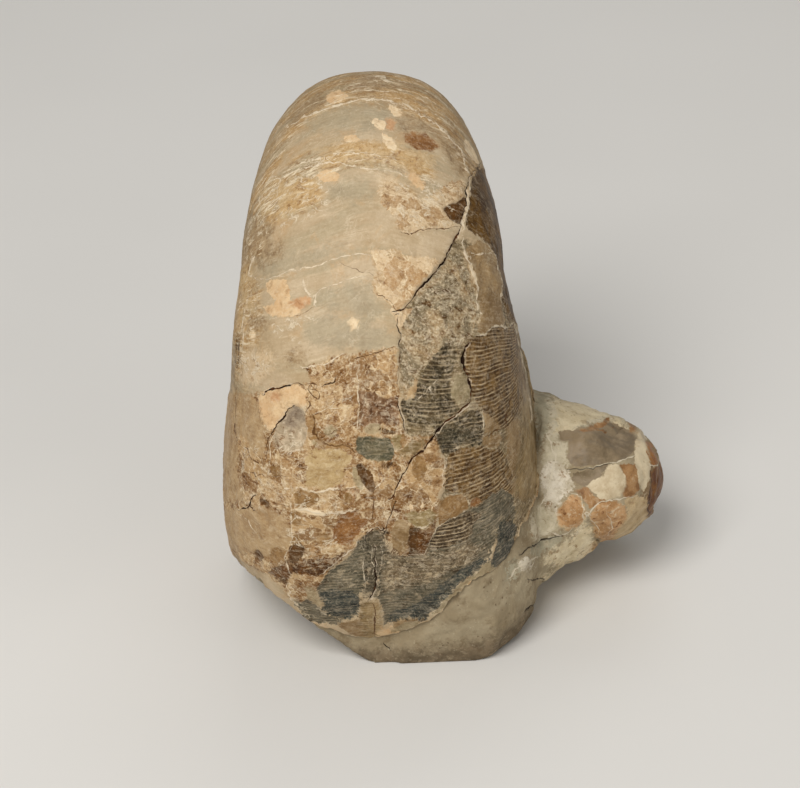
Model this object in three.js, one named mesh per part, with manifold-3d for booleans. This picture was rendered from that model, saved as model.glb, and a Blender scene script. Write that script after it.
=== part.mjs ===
// An ammonite fossil in millimetres: a plump, tightly coiled shell that stands on the mudstone
// filling its broken whorl end, with a piece of a second shell on a lump of the same mudstone.
// +Z is up, the coil turns about an axis parallel to X, and the broken end faces -Y.
import * as THREE from 'three';
import { mergeVertices } from 'three/addons/utils/BufferGeometryUtils.js';
import Module from 'manifold-3d';

const wasm = await Module();
wasm.setup();

// ---------- driving dimensions ----------

const COIL_CENTRE = { x: -8.87, y: 8.56, z: 35.5 }; // where the coil's axis runs above the floor
const GAP = 0.3; // clearance between touching pieces

// Turns are counted in degrees back from the broken end, with 0 facing -Y and VIEW_TILT upwards.
const VIEW_TILT = 30;
const VENTER_RADIUS = 39.1; // axis to the whorl's outer edge at turn 0
const RADIUS_GROWTH = 0.161; // growth of the radius per radian towards the broken end
const HALF_WIDTH = 17.9; // half the whorl's width at turn 0
const WIDTH_GROWTH = 0.152;
const WIDEST_TURN = -62; // the whorl grows no wider past this turn
const SECTION_HEIGHT = 0.533; // half the section's height as a share of the radius
const SQUARENESS = { thin: 2.35, thick: 2.75, from: -30, to: -80 }; // the section's superellipse exponent, by turn
const UMBILICUS_ANGLE = 128; // section angle at the rim of the umbilicus
const UMBILICUS_FLOOR = 6.5; // distance of the umbilicus floor from the coil's middle plane

// The ragged edge where the shell ends: [section angle, turn], from the left flank to the right.
const BROKEN_EDGE = [
  [-128, -96], [-90, -107], [-74, -101], [-60, -70], [-46, -63.5], [-33, -67], [-17, -68.5], [-3, -71.5],
  [5, -67.5], [13, -64.5], [20, -60.5], [29, -58.5], [42, -60.5], [57, -57.5], [76, -61], [90, -62], [128, -66],
];
const SHELL_COLUMNS = 72;
const SHELL_ROWS = 30;

// Open cracks in the shell: each is a line of [turn, section angle], its width and its depth.
const CRACKS = [
  { line: [[31, 49], [25, 47.5], [17.5, 43.5], [11.5, 38], [5, 29], [1.5, 21.5], [-2.5, 13.5], [-4, 8]], width: 0.8, depth: 1.3 },
  { line: [[-5.5, 8.5], [-11.5, 9], [-17, 7.5], [-25, 9]], width: 0.5, depth: 0.8 },
  { line: [[-11.5, 37.5], [-14.5, 36.5], [-18.5, 38], [-22, 39]], width: 0.6, depth: 0.9 },
  { line: [[-22, 38], [-23.5, 33.5], [-27, 20.5], [-29.5, 11.5], [-33.5, 7], [-39, 4], [-42.5, 1.5]], width: 0.6, depth: 0.9 },
  { line: [[-46.5, -1], [-57, -2.5], [-59, -3.5], [-60.5, -2], [-69, -3]], width: 0.7, depth: 1 },
  { line: [[-20.5, -48.5], [-17.5, -35], [-17, -25], [-16, -13.5], [-14, -9]], width: 0.6, depth: 0.9 },
  { line: [[-18.5, -22], [-23.5, -20.5], [-26.5, -16], [-27, -9.5]], width: 0.5, depth: 0.7 },
];
const CRACK_LIFT = 0.5; // how far the cutters of the cracks stand above the shell

// The mudstone: it starts as the rest of the whorl, without the shell's thickness, and is cut by flat breaks.
const FILL_END = -150;
const FILL_INSET = 0.7;
const FILL_COLUMNS = 60;
const FILL_ROWS = 22;
const FOOT = { grow: 5.5, within: 9, roundness: 1.6 }; // how the underside swells, in degrees past the broken edge
const BREAK_FACE = { normal: [-0.645, -0.383, -0.663], distance: 38.9 }; // lower left, cuts the shell as well
const FRONT_FACE = { normal: [0, -0.98, -0.2], distance: 42.7 };
const BACK_FACES = [
  { normal: [0.12, 0.98, 0.16], distance: -1.5 },
  { normal: [-0.72, 0.64, -0.27], distance: 21 },
  { normal: [0.6, 0.78, 0.18], distance: 6.5 },
];
const PLUG = { radius: 6.5, halfLength: 11.5 }; // mudstone in both umbilici

// The lump's outline in a plane that faces VIEW_TILT above -Y: [to the right, up] from the coil's centre.
const LUMP_OUTLINE = [
  [12, -20], [17, -13.4], [21.8, -12.7], [24.5, -13.7], [28.4, -14.3], [31.6, -15.6], [34.3, -17.4],
  [36.4, -19.6], [37.6, -22.3], [37.7, -25.2], [36.7, -28.3], [34.5, -30.8], [31.9, -32.7], [29, -33.8],
  [26.4, -35.3], [24, -37.2], [21, -39], [17, -42.5], [10, -42], [8, -30],
];
const LUMP_CENTRE = [24, -27];
const LUMP_FRONT = 13; // how far the lump stands out of that plane, towards the front
const LUMP_BACK = 15;
const LUMP_FULLNESS = 0.62; // exponent that squares the lump's profile
const LUMP_COLUMNS = 36;
const LUMP_ROWS = 12;

// The second shell's outline on the lump, in the same plane; it runs out past the lump's right side.
const SIDE_SHELL_OUTLINE = [
  [26, -19], [27.1, -17.6], [31.9, -16.4], [35, -16.5], [39, -17], [43, -24], [41, -32], [35, -35.5],
  [29.5, -37], [26.6, -37], [27.8, -34], [29.4, -32.3], [28.3, -30.1], [26.4, -30.4], [23.3, -29.9],
  [25.2, -27.5], [26.4, -26.5], [27.5, -25.2], [26.4, -23.2],
];
const SIDE_SHELL_THICKNESS = 0.8;

const COLOURS = { shell: 0xa08f70, matrix: 0xaa9d80, sideShell: 0x7d6c55 };

// ---------- solids ----------

function solidFrom(geometry) {
  geometry.deleteAttribute('normal');
  geometry.deleteAttribute('uv');
  const merged = mergeVertices(geometry, 1e-4);
  return new wasm.Manifold(new wasm.Mesh({
    numProp: 3,
    vertProperties: new Float32Array(merged.attributes.position.array),
    triVerts: new Uint32Array(merged.index.array),
  }));
}

function meshFrom(solid, name, color, roughness) {
  const { vertProperties, triVerts } = solid.getMesh();
  const geometry = new THREE.BufferGeometry();
  geometry.setAttribute('position', new THREE.BufferAttribute(new Float32Array(vertProperties), 3));
  geometry.setIndex(new THREE.BufferAttribute(new Uint32Array(triVerts), 1));
  geometry.computeVertexNormals();
  const mesh = new THREE.Mesh(geometry, new THREE.MeshStandardMaterial({ color, roughness, metalness: 0 }));
  mesh.name = name;
  return mesh;
}

function largestBody(solid) {
  return solid.decompose().reduce((best, body) => (body.volume() > best.volume() ? body : best));
}

// Keeps what lies behind a plane, given by its outward normal and its distance from the coil's centre.
function trimmed(solid, { normal, distance }) {
  const inward = new THREE.Vector3(...normal).normalize().negate();
  return solid.trimByPlane(inward.toArray(), -distance);
}

function interpolate(table, at) {
  const next = table.findIndex(([key]) => key >= at);
  if (next <= 0) return table.at(next)[1];
  const [lowKey, low] = table[next - 1];
  const [highKey, high] = table[next];
  return THREE.MathUtils.mapLinear(at, lowKey, highKey, low, high);
}

const signedPower = (value, exponent) => Math.sign(value) * Math.abs(value) ** exponent;

// Slow waves that take the smoothness off bare stone, in millimetres.
function unevenness({ x, y, z }) {
  return 0.35 * Math.sin(0.42 * x + 0.9) * Math.cos(0.37 * y - 0.5 * z) + 0.25 * Math.sin(0.9 * z + 0.7 * x - 0.6 * y);
}

// ---------- the coil ----------

// A point of the whorl's outside; grow moves it away from the whorl's middle.
function whorlPoint(turn, section, grow) {
  const t = THREE.MathUtils.degToRad(turn);
  const s = THREE.MathUtils.degToRad(section);
  const radius = VENTER_RADIUS * Math.exp(-RADIUS_GROWTH * t);
  const halfHeight = SECTION_HEIGHT * radius;
  const widthTurn = THREE.MathUtils.degToRad(Math.max(turn, WIDEST_TURN));
  const halfWidth = HALF_WIDTH * Math.exp(-WIDTH_GROWTH * widthTurn);
  const thickness = THREE.MathUtils.smoothstep(-turn, -SQUARENESS.from, -SQUARENESS.to);
  const exponent = 2 / THREE.MathUtils.lerp(SQUARENESS.thin, SQUARENESS.thick, thickness);
  const outwards = radius - halfHeight + (halfHeight + grow) * signedPower(Math.cos(s), exponent);
  const across = (halfWidth + grow) * signedPower(Math.sin(s), exponent);
  const angle = THREE.MathUtils.degToRad(turn + VIEW_TILT);
  return new THREE.Vector3(across, -outwards * Math.cos(angle), outwards * Math.sin(angle));
}

// One turn of the coil back from its end, as a sphere whose poles are the floors of the two umbilici.
// The first strip of faces, from the thick end to the thin one, is the broken cross-section.
function coilSolid(endTurn, columns, rows, grow) {
  const geometry = new THREE.SphereGeometry(1, columns, rows);
  const position = geometry.attributes.position;
  for (let row = 0; row <= rows; row++) {
    const section = THREE.MathUtils.mapLinear(row, 1, rows - 1, UMBILICUS_ANGLE, -UMBILICUS_ANGLE);
    const side = Math.sign(rows / 2 - row);
    for (let column = 0; column <= columns; column++) {
      const back = column === 0 ? 0 : (columns - column) / (columns - 1);
      const turn = endTurn(section) + 360 * back;
      const floor = new THREE.Vector3(side * (UMBILICUS_FLOOR + grow(0, 0)), 0, 0);
      const point = row === 0 || row === rows ? floor : whorlPoint(turn, section, grow(turn, section));
      position.setXYZ(row * (columns + 1) + column, ...point);
    }
  }
  return solidFrom(geometry);
}

// A wedge-shaped cutter that follows a crack over the whorl and runs out to nothing at both ends.
function crackCutter({ line, width, depth }) {
  const stations = 4 * (line.length - 1);
  const geometry = new THREE.BoxGeometry(1, 1, 1, stations, 1, 1);
  const position = geometry.attributes.position;
  const pointAt = (share, grow) => {
    const along = Math.min(share * (line.length - 1), line.length - 1.001);
    const [[turnA, sectionA], [turnB, sectionB]] = line.slice(Math.floor(along), Math.floor(along) + 2);
    const part = along % 1;
    return whorlPoint(turnA + (turnB - turnA) * part, sectionA + (sectionB - sectionA) * part, grow);
  };
  for (let i = 0; i < position.count; i++) {
    const share = position.getX(i) + 0.5;
    const on = pointAt(share, 0);
    const along = pointAt(share + 0.02, 0).sub(pointAt(share - 0.02 < 0 ? 0 : share - 0.02, 0)).normalize();
    const outward = pointAt(share, 1).sub(on).normalize();
    const across = along.cross(outward).normalize();
    const opening = 0.35 + 0.65 * Math.sin(Math.PI * share);
    const top = position.getY(i) > 0;
    on.addScaledVector(outward, top ? CRACK_LIFT : -depth * opening);
    on.addScaledVector(across, Math.sign(position.getZ(i)) * width * opening * (top ? 0.75 : 0.12));
    position.setXYZ(i, ...on);
  }
  return solidFrom(geometry);
}

// ---------- the lump beside the coil ----------

// The closed outline swollen towards the front and the back, so that the outline is the lump's silhouette.
function lumpSolid(grow) {
  const geometry = new THREE.SphereGeometry(1, LUMP_COLUMNS, LUMP_ROWS);
  const position = geometry.attributes.position;
  const centre = new THREE.Vector2(...LUMP_CENTRE);
  const rim = new THREE.CatmullRomCurve3(LUMP_OUTLINE.map(([x, y]) => new THREE.Vector3(x, y, 0)), true, 'centripetal');
  const tilt = THREE.MathUtils.degToRad(VIEW_TILT);
  for (let row = 0; row <= LUMP_ROWS; row++) {
    const polar = (Math.PI * row) / LUMP_ROWS;
    const reach = Math.sin(polar) ** LUMP_FULLNESS;
    for (let column = 0; column <= LUMP_COLUMNS; column++) {
      const edge = rim.getPoint((1 - column / LUMP_COLUMNS) % 1);
      const spoke = new THREE.Vector2(edge.x, edge.y).sub(centre);
      const uneven = unevenness({ x: edge.x, y: edge.y, z: 6 * Math.cos(polar) });
      spoke.setLength(spoke.length() + grow + uneven * Math.cos(polar) ** 2).multiplyScalar(reach);
      const depth = Math.cos(polar) * ((row < LUMP_ROWS / 2 ? LUMP_FRONT : LUMP_BACK) + grow);
      const up = centre.y + spoke.y;
      position.setXYZ(
        row * (LUMP_COLUMNS + 1) + column,
        centre.x + spoke.x,
        up * Math.sin(tilt) - depth * Math.cos(tilt),
        up * Math.cos(tilt) + depth * Math.sin(tilt),
      );
    }
  }
  return solidFrom(geometry);
}

function plugSolid() {
  const profile = [[0, -1], [0.7, -0.96], [1, -0.85], [1, 0.85], [0.7, 0.96], [0, 1]]
    .map(([r, x]) => new THREE.Vector2(r * PLUG.radius, x * PLUG.halfLength));
  return solidFrom(new THREE.LatheGeometry(profile, 20).rotateZ(-Math.PI / 2));
}

// A prism over the second shell's outline, from the outline's plane out to the front.
function sideShellPrism() {
  const shape = new THREE.Shape(SIDE_SHELL_OUTLINE.map(([x, y]) => new THREE.Vector2(x, y)));
  const geometry = new THREE.ExtrudeGeometry(shape, { depth: 2 * LUMP_FRONT, bevelEnabled: false });
  return solidFrom(geometry.rotateX(Math.PI / 2 - THREE.MathUtils.degToRad(VIEW_TILT)));
}

// ---------- the fossil ----------

const brokenEnd = (section) => interpolate(BROKEN_EDGE, section);
const clearedEnd = (section) => brokenEnd(section) - GAP;

const cutters = CRACKS.map(crackCutter);
const shell = cutters.reduce(
  (solid, cutter) => solid.subtract(cutter),
  trimmed(coilSolid(brokenEnd, SHELL_COLUMNS, SHELL_ROWS, () => 0), BREAK_FACE),
);

// The flap on the left flank also needs its gap on the side that faces the middle.
const grownCoil = coilSolid(clearedEnd, SHELL_COLUMNS, SHELL_ROWS, () => GAP);
const clearance = grownCoil.add(grownCoil.trimByPlane([-1, 0, 0], 0).translate([GAP, 0, 0]));

const swelling = (turn, section) => {
  const share = THREE.MathUtils.smoothstep(brokenEnd(section) - turn, 0, FOOT.within);
  const under = Math.max(Math.cos(THREE.MathUtils.degToRad(section)), 0) ** FOOT.roundness;
  return -FILL_INSET + share * (FOOT.grow * under + unevenness(whorlPoint(turn, section, 0)));
};
const fill = BACK_FACES.reduce(trimmed, coilSolid(() => FILL_END, FILL_COLUMNS, FILL_ROWS, swelling));
const matrix = [BREAK_FACE, FRONT_FACE].reduce(trimmed, fill.add(lumpSolid(0)).add(plugSolid()))
  .trimByPlane([0, 0, 1], -COIL_CENTRE.z)
  .subtract(clearance);

const sideShell = lumpSolid(GAP + SIDE_SHELL_THICKNESS)
  .subtract(lumpSolid(GAP)).intersect(sideShellPrism()).subtract(clearance);

const fossil = new THREE.Group();
fossil.position.set(COIL_CENTRE.x, COIL_CENTRE.y, COIL_CENTRE.z);
fossil.add(
  meshFrom(largestBody(shell), 'ammonite_shell', COLOURS.shell, 0.45),
  meshFrom(largestBody(matrix), 'matrix', COLOURS.matrix, 0.9),
  meshFrom(largestBody(sideShell), 'side_shell', COLOURS.sideShell, 0.4),
);

export default fossil;
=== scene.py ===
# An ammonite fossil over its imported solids: the coiled shell, its mudstone and a piece of a second shell.
import math

import bmesh
import bpy
import numpy as np
from mathutils import Matrix, Vector, noise
from mathutils.bvhtree import BVHTree


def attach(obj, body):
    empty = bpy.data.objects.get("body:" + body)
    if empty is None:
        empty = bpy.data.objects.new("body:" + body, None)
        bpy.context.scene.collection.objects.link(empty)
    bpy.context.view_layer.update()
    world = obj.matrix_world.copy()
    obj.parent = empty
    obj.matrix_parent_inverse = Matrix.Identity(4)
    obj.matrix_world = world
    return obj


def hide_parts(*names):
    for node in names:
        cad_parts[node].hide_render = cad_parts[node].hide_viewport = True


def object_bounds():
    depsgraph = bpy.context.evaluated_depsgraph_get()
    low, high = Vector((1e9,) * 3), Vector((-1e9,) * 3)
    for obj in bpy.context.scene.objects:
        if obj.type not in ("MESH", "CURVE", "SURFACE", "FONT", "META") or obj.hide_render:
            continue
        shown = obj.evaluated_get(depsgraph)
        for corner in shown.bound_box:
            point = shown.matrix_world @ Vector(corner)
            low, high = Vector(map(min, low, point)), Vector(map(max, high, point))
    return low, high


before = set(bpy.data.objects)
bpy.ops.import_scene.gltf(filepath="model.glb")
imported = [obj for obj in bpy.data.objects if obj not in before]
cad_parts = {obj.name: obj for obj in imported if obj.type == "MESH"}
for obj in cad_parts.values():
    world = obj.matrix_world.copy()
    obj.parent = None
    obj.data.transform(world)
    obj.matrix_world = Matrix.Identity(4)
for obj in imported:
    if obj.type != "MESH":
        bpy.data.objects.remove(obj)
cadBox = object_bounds()
mm = 0.001

# The coil's shape, in millimetres and degrees; turns count back from the broken end, 0 faces the camera.
coil = {
    "centre": (-8.87, 8.56, 35.5),
    "tilt": 30,
    "venterRadius": 39.1,
    "radiusGrowth": 0.161,
    "halfWidth": 17.9,
    "widthGrowth": 0.152,
    "widestTurn": -62,
    "sectionHeight": 0.533,
    "squareness": (2.35, 2.75, -30, -80),  # exponent at the thin and the thick end, and the turns between
    "umbilicusAngle": 128,
    "umbilicusFloor": 6.5,
    "asidePerDegree": 0.42,  # millimetres across the whorl for a degree of section angle
    "brokenEdge": [
        (-128, -96), (-90, -107), (-74, -101), (-60, -70), (-46, -63.5), (-33, -67), (-17, -68.5),
        (-3, -71.5), (5, -67.5), (13, -64.5), (20, -60.5), (29, -58.5), (42, -60.5), (57, -57.5),
        (76, -61), (90, -62), (128, -66),
    ],  # section angle and the turn where the shell ends
    "breakFace": ((-0.645, -0.383, -0.663), 38.9),
    "sideNudges": [
        (60, -1.0, -0.6), (100, -0.7, -0.35), (130, -0.3, -0.2), (200, -0.1, 0.4), (240, 0, 0.35),
        (270, -0.2, -0.1), (340, 0.1, 0.2), (380, -0.2, -0.25), (440, 0, 0), (480, 0.5, 0), (515, 0.85, 0),
        (545, 0.7, 0), (575, 0.1, 0),
    ],  # row of the picture, and how far the left and the right side stand out there
    "columns": 420,
    "rows": 228,
    "frontTurns": 178,  # degrees back from the end that get most of the columns
    "frontColumns": 0.78,
    "frontSection": 86,  # degrees on both sides of the keel that get most of the rows
    "frontRows": 0.8,
}

# Where the camera stands, in millimetres from the coil's centre; the picture is 800 x 788 points.
view = {
    "distance": 420,
    "right": 3.09,
    "below": 12.88,
    "roll": -2.5,
    "yaw": 1.38,
    "lens": 137.5,
    "sensor": 36,
    "width": 800,
    "middle": (400, 394),
}


def viewAxes():
    tilt, yaw, roll = (math.radians(a) for a in (coil["tilt"], view["yaw"], view["roll"]))
    toward = Vector((0, -math.cos(tilt), math.sin(tilt)))
    up = Vector((0, math.sin(tilt), math.cos(tilt)))
    right = Vector((1, 0, 0)) * math.cos(yaw) - toward * math.sin(yaw)
    toward = Vector((1, 0, 0)) * math.sin(yaw) + toward * math.cos(yaw)
    return right * math.cos(roll) + up * math.sin(roll), up * math.cos(roll) - right * math.sin(roll), toward


right, up, toward = viewAxes()
focal = view["lens"] / view["sensor"] * view["width"]
pointsPerMm = focal / view["distance"]
eye = Vector(coil["centre"]) + toward * view["distance"] + right * view["right"] - up * view["below"]


def placeCamera():
    camera = bpy.data.cameras.new("camera")
    camera.lens = view["lens"]
    camera.sensor_width = view["sensor"]
    camera.clip_start, camera.clip_end = 0.01, 20
    holder = bpy.data.objects.new("camera", camera)
    turned = Matrix((right, up, toward)).transposed().to_4x4()
    holder.matrix_world = Matrix.Translation(eye * mm) @ turned
    bpy.context.scene.collection.objects.link(holder)
    bpy.context.scene.camera = holder


def seenFromEye(points, normals):
    # view points across and down, and how squarely each place faces the camera
    away = points - np.array(eye)
    depth = -away @ np.array(toward)
    across = view["middle"][0] + away @ np.array(right) * focal / depth
    down = view["middle"][1] - away @ np.array(up) * focal / depth
    facing = -(away * normals).sum(1) / np.linalg.norm(away, axis=1)
    return np.stack([across, down], 1), facing


def ripple(points, size, seed, octaves=3):
    # slow noise between about -1 and 1, with waves of the given size in millimetres
    shift = Vector((seed * 3.1, seed * -1.7, seed * 2.3))
    return np.array([noise.fractal(Vector(p) / size + shift, 0.6, 2.1, octaves) for p in points.tolist()])


def smoothStep(x, low, high):
    t = np.clip((x - low) / (high - low), 0, 1)
    return t * t * (3 - 2 * t)


def insideOutline(spots, outline):
    # distance to a closed outline in view points, positive inside
    corners = np.array(outline, float).reshape(-1, 2)
    away = np.full(len(spots), np.inf)
    inside = np.zeros(len(spots), bool)
    for a, b in zip(corners, np.roll(corners, -1, 0)):
        edge, rest = b - a, spots - a
        along = np.clip(rest @ edge / max(edge @ edge, 1e-9), 0, 1)
        away = np.minimum(away, np.linalg.norm(rest - along[:, None] * edge, axis=1))
        if a[1] != b[1]:
            crossing = (a[1] > spots[:, 1]) != (b[1] > spots[:, 1])
            inside ^= crossing & (spots[:, 0] < (b[0] - a[0]) * (spots[:, 1] - a[1]) / (b[1] - a[1]) + a[0])
    return np.where(inside, away, -away)


def patchField(spots, seen, outlines, reach=14):
    # signed distance in millimetres to the nearest of several outlines
    field = np.full(len(spots), -float(reach))
    for outline in outlines.values():
        corners = np.reshape(outline, (-1, 2))
        low, high = corners.min(0) - reach, corners.max(0) + reach
        near = np.nonzero(seen & (spots > low).all(1) & (spots < high).all(1))[0]
        field[near] = np.maximum(field[near], insideOutline(spots[near], corners))
    return field / pointsPerMm


def lineField(spots, seen, lines, reach=14):
    # side of and distance to the nearest line, its half width and its depth, in millimetres
    near = np.full(len(spots), float(reach))
    side, half, depth = near.copy(), np.zeros(len(spots)), np.zeros(len(spots))
    for width, deepest, *path in lines.values():
        path = np.array(path, float).reshape(-1, 2)
        low, high = path.min(0) - reach, path.max(0) + reach
        pick = np.nonzero(seen & (spots > low).all(1) & (spots < high).all(1))[0]
        for n, (a, b) in enumerate(zip(path, path[1:])):
            edge, rest = b - a, spots[pick] - a
            along = np.clip(rest @ edge / max(edge @ edge, 1e-9), 0, 1)
            away = np.linalg.norm(rest - along[:, None] * edge, axis=1)
            closer = away < near[pick]
            chosen = pick[closer]
            share = (n + along[closer]) / (len(path) - 1)
            taper = 0.3 + 0.7 * np.sin(np.pi * np.clip(share, 0, 1)) ** 0.5
            near[chosen] = away[closer]
            turn = edge[0] * rest[closer][:, 1] - edge[1] * rest[closer][:, 0]
            side[chosen] = np.where(turn < 0, -1, 1) * away[closer]
            half[chosen] = width / 2 * taper
            depth[chosen] = deepest * taper
    return side / pointsPerMm, near / pointsPerMm, half, depth


def addField(mesh, name, values):
    mesh.attributes.new(name, "FLOAT", "POINT").data.foreach_set("value", np.asarray(values, np.float32))


def blendFields(back, front, facing):
    # the drawn field on the camera's side, and the one that noise makes on the far side
    return back + (front - back) * smoothStep(facing, -0.3, 0.02)


class Wire:
    # a varying value in a material; arithmetic on it adds Math nodes
    def __init__(self, paint, socket):
        self.paint, self.socket = paint, socket

    def math(self, operation, *others):
        return self.paint.add("Math", {"operation": operation}, dict(enumerate((self, *others))))

    def __add__(self, other):
        return self.math("ADD", other)

    __radd__ = __add__

    def __sub__(self, other):
        return self.math("SUBTRACT", other)

    def __rsub__(self, other):
        return self.paint.add("Math", {"operation": "SUBTRACT"}, {0: other, 1: self})

    def __mul__(self, other):
        return self.math("MULTIPLY", other)

    __rmul__ = __mul__

    def __abs__(self):
        return self.math("ABSOLUTE")

    def top(self, other):
        return self.math("MAXIMUM", other)

    def low(self, other):
        return self.math("MINIMUM", other)

    def sine(self):
        return self.math("SINE")

    def step(self, low, high, start=0.0, end=1.0):
        values = {"Value": self, "From Min": low, "From Max": high, "To Min": start, "To Max": end}
        return self.paint.add("MapRange", {"interpolation_type": "SMOOTHSTEP"}, values)


def tone(colour):
    # a colour as a picture editor shows it, 0 to 255, turned into what a shader takes
    linear = [v / 255 / 12.92 if v <= 10 else ((v / 255 + 0.055) / 1.055) ** 2.4 for v in colour]
    return (*linear, 1.0)


class Paint:
    def __init__(self, name):
        self.material = bpy.data.materials.new(name)
        self.material.use_nodes = True
        self.tree = self.material.node_tree
        self.shader = self.tree.nodes["Principled BSDF"]
        self.place = self.add("TexCoord", out="Object")

    def add(self, kind, settings=None, values=None, out=0):
        node = self.tree.nodes.new("ShaderNode" + kind)
        for name, setting in (settings or {}).items():
            setattr(node, name, setting)
        for name, value in (values or {}).items():
            if isinstance(value, Wire):
                self.tree.links.new(value.socket, node.inputs[name])
            else:
                node.inputs[name].default_value = value
        return Wire(self, node.outputs[out])

    def field(self, name):
        return self.add("Attribute", {"attribute_name": name}, out="Fac")

    def mix(self, one, other, share, blend="MIX"):
        one, other = (tone(c) if isinstance(c, tuple) else c for c in (one, other))
        settings = {"data_type": "RGBA", "blend_type": blend, "clamp_factor": True}
        return self.add("Mix", settings, {0: share, 6: one, 7: other}, 2)

    def darken(self, one, other, share):
        return self.mix(one, other, share, "MULTIPLY")

    def cloud(self, size, detail=4, rough=0.6, warp=0.0, place=None):
        # noise around 0.5 with waves of the given size in millimetres
        values = {"Vector": place or self.place, "Scale": (1 if place else 1000) / size, "Detail": detail}
        return self.add("TexNoise", {}, {**values, "Roughness": rough, "Distortion": warp}, "Fac")

    def warped(self, size, amount):
        # the place shifted about by noise, so that patterns on it run unevenly
        scale = 1000 / size
        values = {"Vector": self.place, "Scale": scale * 1.3, "Detail": 3.0}
        shift = self.add("TexNoise", {}, values, "Color")
        centred = self.add("VectorMath", {"operation": "SUBTRACT"}, {0: shift, 1: (0.5, 0.5, 0.5)})
        scaled = self.add("VectorMath", {"operation": "SCALE"}, {0: centred, "Scale": amount / scale * 2})
        return self.add("VectorMath", {"operation": "ADD"}, {0: self.place, 1: scaled}), scale

    def wisps(self, size, width, place=None):
        # thin curling lines, where slow noise passes its middle
        return abs(self.cloud(size, 5, 0.62, 1.0, place) - 0.5).step(width * 0.3, width, 1.0, 0.0)

    def cells(self, size, feature="DISTANCE_TO_EDGE", warp=0.35):
        spot, scale = self.warped(size, warp)
        return self.add("TexVoronoi", {"feature": feature}, {"Vector": spot, "Scale": scale}, "Distance")

    def fragments(self, size, warp):
        # a mosaic of broken pieces: the distance to a piece's edge, and a number from 0 to 1 for each piece
        spot, scale = self.warped(size, warp)
        values = {"Vector": spot, "Scale": scale}
        edge = self.add("TexVoronoi", {"feature": "DISTANCE_TO_EDGE"}, values, "Distance")
        shade = self.add("TexVoronoi", {"feature": "F1"}, values, "Color")
        return edge, self.add("SeparateColor", {}, {"Color": shade}, "Red")

    def vector(self, x, y, z=0.0):
        return self.add("CombineXYZ", {}, {"X": x, "Y": y, "Z": z})

    def finish(self, colour, rough, height, fixed):
        self.tree.links.new(colour.socket, self.shader.inputs["Base Color"])
        self.tree.links.new(rough.socket, self.shader.inputs["Roughness"])
        bump = self.add("Bump", {}, {"Strength": 1.0, "Distance": mm, "Height": height}, "Normal")
        self.tree.links.new(bump.socket, self.shader.inputs["Normal"])
        for name, value in fixed.items():
            self.shader.inputs[name].default_value = value
        return self.material


def layered(paint, colour, rough, grain, lirae, patches, flow=None):
    # lays the families of patches over one another, in their order
    ragged = (paint.cloud(1.0, 5, 0.7) - 0.5) + (paint.cloud(0.35, 3) - 0.5) * 0.6
    sharp = paint.cloud(4.0, 3).step(0.42, 0.6, 0.16, 1.0)
    patchy = paint.cloud(1.1, 4).step(0.44, 0.58)
    worn = paint.cloud(1.2, 8, 0.72, 0.4, flow)
    pale, deep = worn.step(0.53, 0.64), worn.step(0.46, 0.37)
    seam, shard = paint.fragments(2.6, 0.8)
    seam = seam.step(0.01, 0.05, 1.0, 0.0) * patchy.top(0.3)
    clouds = {}
    for name, look in patches.items():
        if not look["tones"]:
            continue
        edge, soft, size = paint.field(name) + ragged * look["ragged"], look["soft"], look["cloud"]
        mask = (edge if soft > 0.1 else edge * sharp).step(-soft, soft) * look["cover"]
        if size not in clouds:
            clouds[size] = paint.cloud(size, 7, 0.72, 0.5).step(0.4, 0.6)
        fill = paint.mix(*look["tones"], clouds[size])
        if look["broken"]:
            for shade, limits in zip(look["broken"], ((0.68, 0.72), (0.32, 0.28))):
                fill = paint.mix(fill, shade, shard.step(*limits) * 0.6)
            fill = paint.mix(fill, (230, 210, 174), seam * 0.8)
        fill = paint.mix(fill, look["pale"], pale * look["worn"])
        fill = paint.darken(fill, (172, 144, 112), deep * look["worn"] * 1.5)
        colour = paint.mix(colour, fill, mask)
        # partly painted highlight: a pale rim just outside the patch's border, the white broken edge of the
        # layer above and the light it catches
        if look["rim"]:
            rim = (edge.step(-0.18, -0.05) - edge.step(-0.02, 0.08)) * patchy * sharp * look["rim"]
            colour = paint.mix(colour, (218, 200, 168), rim)
        rough = rough + (look["rough"] - rough) * mask
        grain = grain + (look["grain"] - grain) * mask
        lirae = lirae + (look["lirae"] - lirae) * mask
    return colour, rough, grain, lirae


def lineMask(paint, name, soft=0.03):
    # the line itself, and a painted highlight: the lit lip along its lower side
    side = paint.field(name + "Side")
    near = abs(side).top(paint.field(name + "Near") - 0.3)
    half = paint.field(name + "Half") * paint.cloud(1.3, 4, 0.7).step(0.36, 0.62, 0.35, 1.3)
    gap = near - half
    line = gap.step(-soft, soft, 1.0, 0.0)
    paintedLip = (gap - 0.1).step(0.0, 0.08, 1.0, 0.0) * side.step(0.0, -0.05) * gap.step(0.0, 0.05)
    return line, paintedLip * paint.cloud(1.6, 3).step(0.45, 0.58)


# What a family of patches has unless it says otherwise.
usual = {
    "sunk": 0.0,  # depth in millimetres; minus is proud
    "waves": 9,  # size in millimetres of the noise that places it out of sight
    "least": 0.5,  # what that noise has to pass
    "seed": None,  # its seed, where it isn't the family's place in the table
    "tones": None,  # two colours; without them the family only leaves a field
    "cloud": 1.6,  # size in millimetres of the clouds that mix them
    "rough": 0.5,
    "grain": 0.01,  # fine relief and speckle
    "lirae": 0.1,  # strength of the growth lines
    "worn": 0.3,  # strength of pale and of darker wear
    "pale": (214, 194, 162),
    "ragged": 1.1,  # how uneven the border is
    "soft": 0.04,  # how slowly it ends
    "cover": 1.0,
    "rim": 0.0,  # strength of a pale rim
    "broken": None,  # two colours for single fragments
}


def family(looks, /, **outlines):
    # the outlines are corners in view points, across and down in turn
    return {**usual, **looks, "outlines": outlines}


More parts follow.
